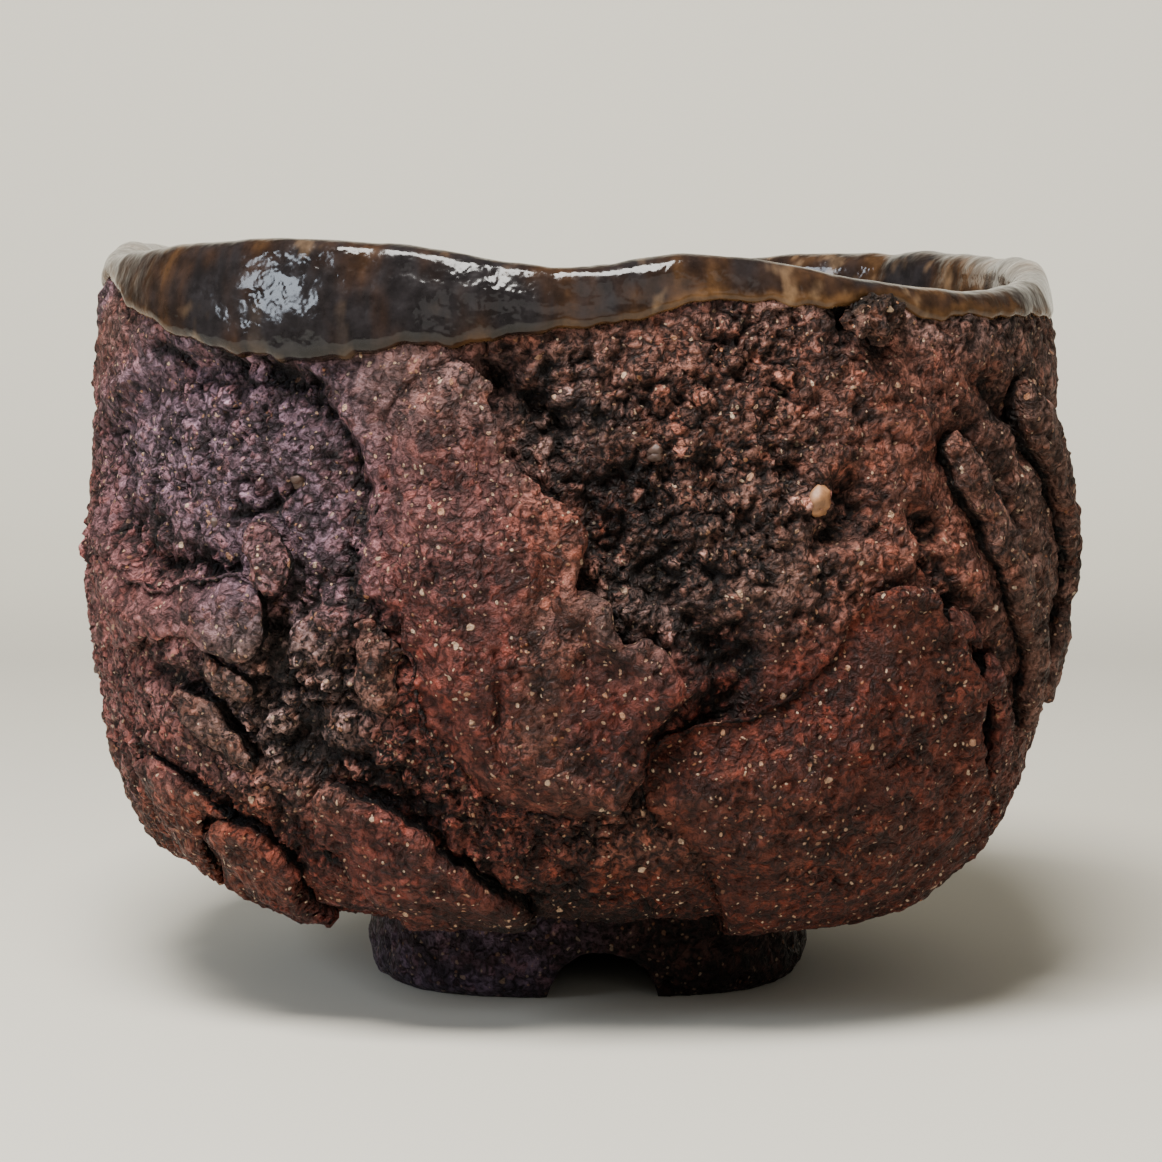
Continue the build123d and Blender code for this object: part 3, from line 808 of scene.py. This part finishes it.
def glaze_tone(points, thick):
    """Dark where the glaze is thick and amber where it is thin, with tan streaks that ran down."""
    stretched = points * np.array([1.0, 1.0, 0.35])
    mottle = rough_noise(stretched, 5, 85, 4, 0.6)
    tone = mix(GLAZE_AMBER, GLAZE_BROWN, smoothstep(0.2, 0.75, thick + 0.35 * mottle)[..., None])
    tone = mix(tone, GLAZE_DARK_AND_SHEEN, smoothstep(0.6, 1.05, thick + 0.3 * mottle)[..., None])
    streak = smoothstep(0.42, 0.75, rough_noise(points * np.array([1, 1, 0.5]), 3.2, 86, 3))
    return mix(tone, GLAZE_TAN, (0.5 * streak * smoothstep(1.2, 0.4, thick))[..., None])


def coat(points, facing, rise, depth, thinning):
    """A coat's face, and its hidden underside in reverse order and with fewer rows."""
    base = points + facing * swell_of(points)[..., None]
    return base + facing * rise[..., None], (base - facing * depth)[::-thinning]


def lip_glaze(sheet, normals, first, last):
    """The glaze over the lip: thick pools on the front, and worn thin along its lower edge."""
    points, from_outer, from_inner = sheet_between(sheet, first, last, LIP_ROWS)
    facing = sheet_between(normals, first, last, LIP_ROWS)[0]
    pool = np.zeros(points.shape[:-1])
    for x, z, wide, high, strength in FRONT_POOLS:
        pool = np.maximum(pool, strength * blob(points, x, z, wide, high))
    at_back = smoothstep(-10, 10, points[..., 1])
    pool = np.maximum(pool, 0.55 * smoothstep(0.1, 0.6, noise(points, 16, 83)) * at_back)
    ripple = 0.16 * noise(points, 4.5, 84) + 0.05 * noise(points, 1.8, 87)
    thick = 0.55 + 1.3 * pool + ripple
    crest = 0.6 * smoothstep(0.3, 0.9, facing[..., 2])
    rise = (thick + crest) * bead(from_outer, 0.9 + 1.0 * pool) * bead(from_inner, 1.4)
    rings = np.concatenate(coat(points, facing, rise - 0.1, 0.5, 4))
    worn = smoothstep(1.6, 0.0, from_outer)
    wetness = 0.72 + 0.4 * pool - 0.5 * worn * (1 - pool)
    inside = smoothstep(16, 22, from_outer)
    tone = glaze_tone(points, np.maximum(wetness, 0.85 * inside))
    tones = np.concatenate([tone, tone[::-4]])
    tube_piece("rim_glaze_coat", rings, "rim_glaze", ["rim_glaze"], (("tone", tones),), capped=False)


def floor_glaze(sheet, normals, last):
    """The glaze inside the bowl, which lies deepest on the floor."""
    start = last - GLAZE_OVERLAP / STEP
    end = np.full(AROUND, len(sheet) - 1.0)
    points, from_top, _ = sheet_between(sheet, start, end, FLOOR_ROWS)
    facing = sheet_between(normals, start, end, FLOOR_ROWS)[0]
    floor = smoothstep(34, 10, np.hypot(points[..., 0], points[..., 1]))
    rise = (0.5 + 0.12 * noise(points, 6, 88)) * bead(from_top, 1.5) + 0.8 * floor
    top, under = coat(points, facing, rise - 0.05, 0.4, 5)
    rings = np.concatenate([under, top])
    tone = glaze_tone(points, 0.7 + 0.4 * floor)
    tones = np.concatenate([tone[::-5], tone])
    tube_piece("inner_glaze_coat", rings, "inner_glaze", ["inner_glaze"], (("tone", tones),), capped=True)


# ---- Clay body ----
def clay_wall(sheet, normals, cover, crisp, first):
    """The bowl of coarse clay, torn on the outside and smooth under its glaze."""
    outer_rows = len(cover)
    outer, inner = sheet[:outer_rows], sheet[outer_rows:]
    glazed = smoothstep(-0.8 / STEP, 1.2 / STEP, np.arange(outer_rows)[:, None] - first)
    placed, shade = front_relief(outer)
    grit = np.maximum(clay_grit(outer), 0.9 * shade)
    crumbly, gaps = clods(outer, grit)

    # Long tears at the back, where a broad noise crosses zero. They are darkened with painted shade.
    fold = np.abs(rough_noise(outer * np.array([1, 1, 0.7]), 24, 51, 3))
    at_back = smoothstep(-8, 12, outer[..., 1]) * smoothstep(14, 22, outer[..., 2])
    torn = smoothstep(0.075, 0.0, fold) * at_back
    shade = np.maximum(shade, 0.9 * torn)

    swell = swell_of(outer)
    wear = 0.3 * noise(outer, 5.5, 64)
    grain, cracks = surface_grain(outer, grit)
    relief = placed - 1.1 * torn + crumbly + wear + grain - swell
    under_slab = smoothstep(0.1, 1.3, cover)
    # A groove beside each crisp slab edge, darkened with painted shade.
    beside = np.exp(-((np.minimum(cover - 0.2, 0) / 1.1) ** 2)) * crisp
    beside = beside * (0.55 + 0.45 * rough_noise(outer, 7, 52, 2))
    relief = relief * (1 - 0.6 * under_slab) - UNDER * under_slab - 0.9 * beside
    shade = np.clip(np.maximum(shade, beside), 0, 1)
    near_foot = mix(0.35, 1.0, smoothstep(30, 37, np.hypot(outer[..., 0], outer[..., 1])))
    relief = (relief - 0.1) * (1 - glazed) * near_foot - 0.15 * glazed
    height = np.concatenate([relief + swell, swell_of(inner) - 0.25])

    # Crumb tops are lightened with painted highlight, and the hollows between crumbs are darkened with
    # painted shade.
    low = smoothstep(0.2, -0.55, crumbly)
    high = smoothstep(0.0, 0.45, crumbly)
    tone = clay_tone(outer) * (1.15 + 1.6 * high - 0.3 * low)[..., None]
    # Painted shade in crevices, tears, gaps, cracks and hollows between crumbs.
    painted_shade = np.clip(shade * (0.45 + 0.75 * low) + 0.75 * gaps + 0.15 * low + 0.6 * cracks, 0, 1)

    # Inside, where the glaze hides the clay, only every fourth row is kept.
    last_row = len(sheet) - 1
    kept = np.r_[np.arange(outer_rows + 2), np.arange(outer_rows + 4, last_row, 4), last_row]

    def whole(values, inside):
        rest = np.broadcast_to(inside, (len(inner), *values.shape[1:]))
        return np.concatenate([values, rest])[kept]

    rings = (sheet + normals * height[..., None])[kept]
    attributes = (("tone", whole(tone, UMBER)), ("grit", whole(grit, 0.0)), ("painted_shade", whole(painted_shade, 0.0)))
    tube_piece("clay_body_wall", rings, "coarse_clay", ["clay_body"], attributes, capped=True)


# ---- Foot, lump and stones ----
def remeshed(cad, cell):
    """A copy of a CAD piece's points, faces and normals as an even mesh."""
    double = bpy.data.objects.new("double", cad.data.copy())
    bpy.context.scene.collection.objects.link(double)
    remesh = double.modifiers.new("even", "REMESH")
    remesh.mode = "VOXEL"
    remesh.voxel_size = cell * MM
    shaped = double.evaluated_get(bpy.context.evaluated_depsgraph_get()).to_mesh()
    points = np.array([v.co for v in shaped.vertices]) / MM
    normals = np.array([v.normal for v in shaped.vertices])
    faces = [tuple(p.vertices) for p in shaped.polygons]
    mesh = double.data
    bpy.data.objects.remove(double)
    bpy.data.meshes.remove(mesh)
    return points, normals, faces


def foot(cad):
    """Knife-trimmed clay with a chipped lower edge, purplish on the left and dark brown on the right."""
    points, normals, faces = remeshed(cad, 0.45)
    worn = 0.25 * rough_noise(points, 5, 91, 2) + 0.22 * rough_noise(points, 2.0, 92, 3)
    trimmed = 0.14 * noise(points * np.array([0.3, 0.3, 1.0]), 1.6, 93)
    near, second, own = crumbs(points, 1.7, 94)
    chips = 0.5 * smoothstep(0.72, 0.95, own) * smoothstep(0.15, 0.4, second - near)
    on_ground = smoothstep(0.9, 0.0, points[:, 2])
    height = (worn + trimmed - chips) * mix(1.0, 0.25, on_ground)
    moved = points + normals * height[:, None]
    moved[:, 2] = np.maximum(moved[:, 2], 0.0)
    right = smoothstep(-12, 10, points[:, 0])
    tone = mix(paint(78, 64, 78), paint(44, 27, 24), right[:, None])
    tone = tone * (1 + 0.3 * rough_noise(points, 6, 95, 3))[:, None]
    grit = mix(0.25, 0.7, right)
    # Painted shade in the chips' hollows.
    painted_shade = 0.7 * smoothstep(0.2, 0.5, chips)
    attributes = (("tone", tone), ("grit", grit), ("painted_shade", painted_shade))
    new_piece("foot_ring_cut", moved, faces, "foot_clay", ["foot_ring"], attributes)


def lump(cad):
    """A pinched roll of clay, stained by the glaze above it."""
    points, normals, faces = remeshed(cad, 0.28)
    knobbly = 1.1 * noise(points, 3.4, 96) + 0.7 * rough_noise(points, 1.5, 97, 3, 0.6) - 0.2
    moved = points + normals * knobbly[:, None]
    stained = smoothstep(76.5, 79.0, points[:, 2])
    tone = mix(BROWN * 0.9, GLAZE_BROWN, stained[:, None]) * (1 + 0.5 * noise(points, 1.6, 98))[:, None]
    attributes = (("tone", tone), ("grit", np.full(len(points), 0.5)))
    new_piece("rim_lump_pinched", moved, faces, "coarse_clay", ["rim_lump"], attributes)


def islands(mesh):
    """The points of each separate part of a mesh, in millimetres."""
    points = np.array([v.co / MM for v in mesh.vertices])
    ends = np.array([e.vertices[:] for e in mesh.edges])
    # Each point takes the lowest number among its neighbours until nothing changes.
    label = np.arange(len(points))
    while np.ptp(label[ends], axis=1).any():
        lowest = label[ends].min(axis=1)
        for side in range(2):
            np.minimum.at(label, ends[:, side], lowest)
    return [points[label == number] for number in np.unique(label)]


FACETS = 11  # planes that cut each pebble


def pebbles(cad):
    """An angular pebble in place of each stone's smooth cap."""
    shape = bmesh.new()
    bmesh.ops.create_icosphere(shape, subdivisions=3, radius=1.0)
    ball = np.array([v.co for v in shape.verts])
    ball_faces = np.array([[v.index for v in f.verts] for f in shape.faces])
    shape.free()
    points, faces, tones = [], [], []
    for group in islands(cad.data):
        low, high = group.min(axis=0), group.max(axis=0)
        middle, half = (low + high) / 2, (high - low) / 2
        half = np.maximum(half, 0.7 * half.max())
        # The one pale pebble shows fully. The others sink with the wall where it is hollowed out.
        pale = middle[1] < 0 and 20 < middle[0] < 34
        hollow = 0.0 if pale else front_relief(middle[None])[0][0] + swell_of(middle[None])[0]
        out = middle * np.array([1, 1, 0]) / np.hypot(middle[0], middle[1])
        middle = middle + out * (min(hollow, 0.0) - 0.6)
        # Flat facets: each direction is cut back to the nearest of a few planes.
        plane = np.arange(FACETS, dtype=np.uint32)
        own = np.full(FACETS, int(abs(low[0]) * 9), np.uint32)
        cuts = np.stack(hashed([plane, own, own], 7, 3), axis=1) * 2 - 1
        cuts /= np.linalg.norm(cuts, axis=1, keepdims=True)
        reach = np.min(0.8 / np.maximum(ball @ cuts.T, 0.62), axis=1)
        body = ball * reach[:, None] * half * 1.05 + middle
        colour = paint(150, 106, 72) if pale else paint(74, 54, 46)
        faces.append(ball_faces + len(ball) * len(points))
        points.append(body)
        tones.append(np.tile(colour, (len(body), 1)) * (1 + 0.25 * noise(body, 0.9, 99))[:, None])
    every = np.concatenate(points)
    attributes = (("tone", np.concatenate(tones)),)
    new_piece("stones_angular", every, np.concatenate(faces).tolist(), "stone", ["stones"], attributes)


# ---- Materials ----
class Graph:
    """A material's nodes. An input is a number, a colour or another node's output."""

    def __init__(self, name):
        self.material = bpy.data.materials.new(name)
        self.material.use_nodes = True
        self.tree = self.material.node_tree
        self.shader = next(n for n in self.tree.nodes if n.type == "BSDF_PRINCIPLED")
        self.place = self.node("ShaderNodeTexCoord").outputs["Object"]

    def join(self, value, socket):
        if isinstance(value, bpy.types.NodeSocket):
            self.tree.links.new(value, socket)
        else:
            socket.default_value = value

    def node(self, kind, settings=(), **inputs):
        made = self.tree.nodes.new(kind)
        for setting, value in dict(settings).items():
            setattr(made, setting, value)
        for socket, value in inputs.items():
            self.join(value, made.inputs[socket.replace("_", " ")])
        return made

    def math(self, operation, *values):
        made = self.node("ShaderNodeMath", {"operation": operation})
        for socket, value in zip(made.inputs, values):
            self.join(value, socket)
        return made.outputs[0]

    def times(self, a, b):
        return self.math("MULTIPLY", a, b)

    def scaled(self, value, factor, added):
        return self.math("MULTIPLY_ADD", value, factor, added)

    def ramp(self, value, low, high, start=0.0, end=1.0):
        made = self.node("ShaderNodeMapRange", {"interpolation_type": "SMOOTHSTEP"})
        for socket, number in zip(made.inputs, (value, low, high, start, end)):
            self.join(number, socket)
        return made.outputs[0]

    def blend(self, share, a, b, kind="MIX"):
        made = self.node("ShaderNodeMix", {"data_type": "RGBA", "blend_type": kind})
        self.join(share, made.inputs[0])
        self.join(a, made.inputs[6])
        self.join(b, made.inputs[7])
        return made.outputs[2]

    def noise(self, scale, detail=3.0, roughness=0.55):
        made = self.node("ShaderNodeTexNoise", Vector=self.place, Scale=scale, Detail=detail)
        self.join(roughness, made.inputs["Roughness"])
        return made.outputs["Fac"]

    def cells(self, scale, feature="F1"):
        return self.node("ShaderNodeTexVoronoi", {"feature": feature}, Vector=self.place, Scale=scale)

    def warp(self, scale, amount):
        """Bends the coordinates that later textures use."""
        bend = self.node("ShaderNodeTexNoise", Vector=self.place, Scale=scale, Detail=2.0).outputs["Color"]
        spread = self.node("ShaderNodeVectorMath", {"operation": "MULTIPLY_ADD"})
        self.join(bend, spread.inputs[0])
        self.join((amount, amount, amount), spread.inputs[1])
        self.join(self.place, spread.inputs[2])
        self.place = spread.outputs[0]

    def attribute(self, name, output="Fac"):
        return self.node("ShaderNodeAttribute", {"attribute_name": name}).outputs[output]

    def channels(self, colour):
        return self.node("ShaderNodeSeparateColor", Color=colour).outputs

    def bump(self, height, strength, distance):
        made = self.node("ShaderNodeBump", Height=height, Strength=strength, Distance=distance)
        self.join(made.outputs["Normal"], self.shader.inputs["Normal"])

    def set(self, **values):
        for socket, value in values.items():
            self.join(value, self.shader.inputs[socket.replace("_", " ")])


RAGGED = 0.9  # how far the outlines of the bright grains and painted glints stray from round
GRAIN_SCALE = 820.0  # a texture's scale is how many of its features fit in a metre
# The near-black of painted shade.
PAINTED_SHADE_COLOUR = (0.004, 0.003, 0.003, 1.0)
PALE_GRAIN_AND_GLINT = (0.75, 0.56, 0.4, 1.0)
RUSTY_GRAIN_AND_GLINT = (0.42, 0.17, 0.08, 1.0)


def clay_material(name, brightness, roughness, glints):
    """Coarse fired clay: grains of uneven colour, gaps and crevices darkened with painted shade, and small
    bright grains that are partly pale grit and partly painted glints.
    """
    g = Graph(name)
    tone = g.attribute("tone", "Color")
    grit = g.attribute("grit")
    painted_shade = g.attribute("painted_shade")
    g.warp(520.0, 0.0011)
    grain = g.cells(GRAIN_SCALE)
    own = g.channels(grain.outputs["Color"])
    edge = g.cells(GRAIN_SCALE, "DISTANCE_TO_EDGE").outputs["Distance"]
    fine = g.noise(1550.0, 4.0, 0.62)
    medium = g.noise(620.0, 3.0, 0.6)
    broad = g.noise(330.0, 4.0, 0.6)

    # The clay's own colour, uneven from grain to grain and from place to place.
    shade = g.scaled(own[0], 0.8, 0.55)
    shade = g.times(shade, g.ramp(broad, 0.38, 0.62, 0.58 * brightness, 1.42 * brightness))
    coarse = g.scaled(grit, 0.8, 0.27)
    speckle = g.scaled(g.ramp(fine, 0.38, 0.62, -0.7, 0.8), coarse, 1.0)
    shade = g.times(shade, speckle)
    colour = g.blend(1.0, tone, shade, "MULTIPLY")
    warm = g.blend(1.0, colour, (1.22, 0.97, 0.86, 1.0), "MULTIPLY")
    colour = g.blend(g.ramp(own[1], 0.55, 0.95, 0.0, 0.9), colour, warm)

    # Gaps between grains, pits and crevices are darkened almost to black: painted shade.
    gap = g.ramp(edge, 0.03, 0.2, 1.0, 0.0)
    open_here = g.times(gap, g.ramp(medium, 0.42, 0.58, 0.0, 1.0))
    open_here = g.times(open_here, g.scaled(grit, 0.5, 0.5))
    pit = g.times(g.ramp(fine, 0.48, 0.40), g.ramp(medium, 0.58, 0.44, 0.3, 1.0))
    dark = g.math("MAXIMUM", open_here, g.times(painted_shade, 0.95))
    dark = g.math("MAXIMUM", dark, g.times(pit, coarse))
    colour = g.blend(dark, colour, PAINTED_SHADE_COLOUR)

    # Small and large bright grains, each in a few of its texture's cells: partly pale grit and partly painted
    # glints, dimmed in painted shade.
    small = g.cells(1900.0)
    small_own = g.channels(small.outputs["Color"])
    near_small = g.scaled(fine, RAGGED, small.outputs["Distance"])
    glint = g.times(g.ramp(small_own[0], 0.86, 0.9), g.ramp(near_small, 0.86, 0.7))
    big = g.cells(900.0)
    big_own = g.channels(big.outputs["Color"])
    near_big = g.scaled(medium, RAGGED, big.outputs["Distance"])
    speck = g.times(g.ramp(big_own[1], 0.935, 0.945), g.ramp(near_big, 0.78, 0.68))
    bright = g.math("MAXIMUM", glint, speck)
    bright = g.times(bright, g.ramp(painted_shade, 0.3, 0.8, glints, 0.15 * glints))
    pale = g.blend(big_own[2], RUSTY_GRAIN_AND_GLINT, PALE_GRAIN_AND_GLINT)
    colour = g.blend(g.times(bright, 0.85), colour, pale)

    rounded = g.ramp(grain.outputs["Distance"], 0.6, 0.1)
    granule = g.times(rounded, g.scaled(grit, 0.6, 0.1))
    height = g.scaled(granule, 0.6, fine)
    height = g.scaled(medium, 1.1, height)
    height = g.scaled(open_here, -0.5, height)
    height = g.scaled(bright, 0.3, height)
    g.bump(height, 1.0, 0.0012)
    worn = g.ramp(fine, 0.35, 0.65, roughness + 0.12, roughness - 0.16)
    rough = g.scaled(bright, -0.3, worn)
    g.set(Base_Color=colour, Roughness=rough, Specular_IOR_Level=0.22)
    return g.material


def glaze_material(name, brightness, roughness):
    """Glassy glaze. Its colour comes from how thick it lies."""
    g = Graph(name)
    tone = g.attribute("tone", "Color")
    mottle = g.noise(420.0, 5.0, 0.65)
    shade = g.ramp(mottle, 0.3, 0.7, 0.6 * brightness, 1.45 * brightness)
    colour = g.blend(1.0, tone, shade, "MULTIPLY")
    g.bump(g.noise(260.0, 3.0, 0.55), 0.4, 0.0009)
    rough = g.ramp(mottle, 0.35, 0.75, roughness, roughness + 0.12)
    g.set(Base_Color=colour, Roughness=rough, IOR=1.38)
    return g.material


def stone_material(name):
    """Veined stone, with each pebble's colour as the base."""
    g = Graph(name)
    tone = g.attribute("tone", "Color")
    vein = g.noise(900.0, 4.0, 0.6)
    colour = g.blend(1.0, tone, g.ramp(vein, 0.3, 0.7, 0.65, 1.3), "MULTIPLY")
    g.bump(vein, 0.3, 0.0003)
    g.set(Base_Color=colour, Roughness=0.5)
    return g.material


def paper_material(name):
    """The floor's matt, pale paper."""
    g = Graph(name)
    g.set(Base_Color=(*paint(206, 202, 190), 1.0), Roughness=0.9)
    return g.material


# What makes each material slot's finish, with its brightness, its roughness and how bright its pale grains
# and painted glints are.
MATERIALS = {
    "coarse_clay": (clay_material, 1.0, 0.62, 1.0),
    "burnt_slab": (clay_material, 0.82, 0.58, 0.9),
    "red_slab": (clay_material, 0.85, 0.6, 1.0),
    "fold_clay": (clay_material, 0.85, 0.58, 0.8),
    "foot_clay": (clay_material, 0.9, 0.6, 0.35),
    "rim_glaze": (glaze_material, 1.0, 0.09),
    "inner_glaze": (glaze_material, 0.9, 0.12),
    "stone": (stone_material,),
}


# ---- Stage, lights and camera, all in metres ----
def stage():
    """A plain floor that curves up into a plain wall behind the bowl."""
    front, bend, radius, top, half_width = -1.2, 0.55, 0.35, 1.8, 2.5
    section = [(front, 0.0), (bend, 0.0)]
    turns = np.linspace(0, pi / 2, 24)[1:]
    section += [(bend + radius * sin(a), radius - radius * cos(a)) for a in turns]
    section += [(bend + radius, top)]
    verts = [(x, y, z) for y, z in section for x in (-half_width, half_width)]
    faces = [(2 * i, 2 * i + 1, 2 * i + 3, 2 * i + 2) for i in range(len(section) - 1)]
    mesh = bpy.data.meshes.new("sweep")
    mesh.from_pydata(verts, [], faces)
    mesh.shade_smooth()
    sweep = bpy.data.objects.new("sweep", mesh)
    bpy.context.scene.collection.objects.link(sweep)
    mesh.materials.append(paper_material("paper"))


def area_light(name, place, target, wide, high, power, colour):
    """A soft rectangular light at a place, aimed at a target."""
    data = bpy.data.lights.new(name, "AREA")
    data.shape = "RECTANGLE"
    data.size, data.size_y = wide, high
    data.energy = power
    data.color = colour
    light = bpy.data.objects.new(name, data)
    light.location = place
    light.rotation_euler = (Vector(target) - Vector(place)).to_track_quat("-Z", "Y").to_euler()
    bpy.context.scene.collection.objects.link(light)


def lights():
    """A soft light overhead, a cool window at the left, a weak fill in front, and one on the wall."""
    middle = (0, 0, 0.05)
    area_light("overhead", (-0.1, -0.26, 0.62), middle, 0.3, 0.26, 10.0, (1.0, 0.97, 0.92))
    area_light("window", (-0.62, -0.42, 0.40), middle, 0.2, 0.3, 3.4, (0.78, 0.88, 1.0))
    area_light("front", (0.15, -0.9, 0.4), middle, 0.7, 0.4, 0.8, (1.0, 0.96, 0.9))
    area_light("wall", (0, 0.42, 0.5), (0, 1.0, 0.35), 1.4, 0.5, 7.0, (1.0, 0.985, 0.94))
    world = bpy.data.worlds.new("room")
    world.use_nodes = True
    background = world.node_tree.nodes["Background"].inputs
    background["Color"].default_value = (0.9, 0.86, 0.78, 1.0)
    background["Strength"].default_value = 0.25
    bpy.context.scene.world = world


CAMERA_PLACE = (0.00074, -0.430, 0.0877)
CAMERA_DIP = 5.683  # how far the camera looks down, in degrees


def camera():
    """Straight ahead of the front, a little above the lip."""
    data = bpy.data.cameras.new("camera")
    data.sensor_width = 36
    data.lens = 113.64
    eye = bpy.data.objects.new("camera", data)
    eye.location = CAMERA_PLACE
    eye.rotation_euler = (radians(90 - CAMERA_DIP), 0, 0)
    bpy.context.scene.collection.objects.link(eye)
    bpy.context.scene.camera = eye


# ---- The scene ----
def main():
    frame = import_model()
    nodes = frame["nodes"]
    for name, (make, *settings) in MATERIALS.items():
        FINISHES[name] = make(name, *settings)
    sheet, outer_rows = read_sheet(nodes["clay_body"])
    normals = normals_of(sheet)
    # The columns meet at both ends of the sheet, so its own normals are no use there.
    normals[:3] = (0, 0, -1)
    normals[-3:] = (0, 0, 1)
    wall_tree = mesh_tree(nodes["clay_body"])
    first, last = glaze_span(nodes["rim_glaze"], sheet, outer_rows)

    # For each point of the outer face: how far inside a slab it is, and how crisp the slab's edge is nearby.
    outer = sheet[:outer_rows]
    cover = np.full(outer.shape[:-1], -9.0)
    crisp = np.zeros(outer.shape[:-1])
    for name, (sides, rounding, grit, colour) in SLAB_LOOKS.items():
        patch = Patch(nodes[name], outer, normals[:outer_rows], wall_tree)
        softness = patch.softness(name, sides)
        thickness = max(wall_tree.find_nearest(v.co / MM)[3] for v in nodes[name].data.vertices)
        slab_piece(name, patch, softness, rounding, grit, colour, thickness)
        cover = patch.put(cover, patch.inside)
        crisp = patch.put(crisp, (1 - softness) * smoothstep(-MARGIN, -1.0, patch.inside))
    clay_wall(sheet, normals, cover, crisp, first)
    lip_glaze(sheet, normals, first, last)
    floor_glaze(sheet, normals, last)
    foot(nodes["foot_ring"])
    lump(nodes["rim_lump"])
    pebbles(nodes["stones"])
    stage()
    lights()
    camera()


main()
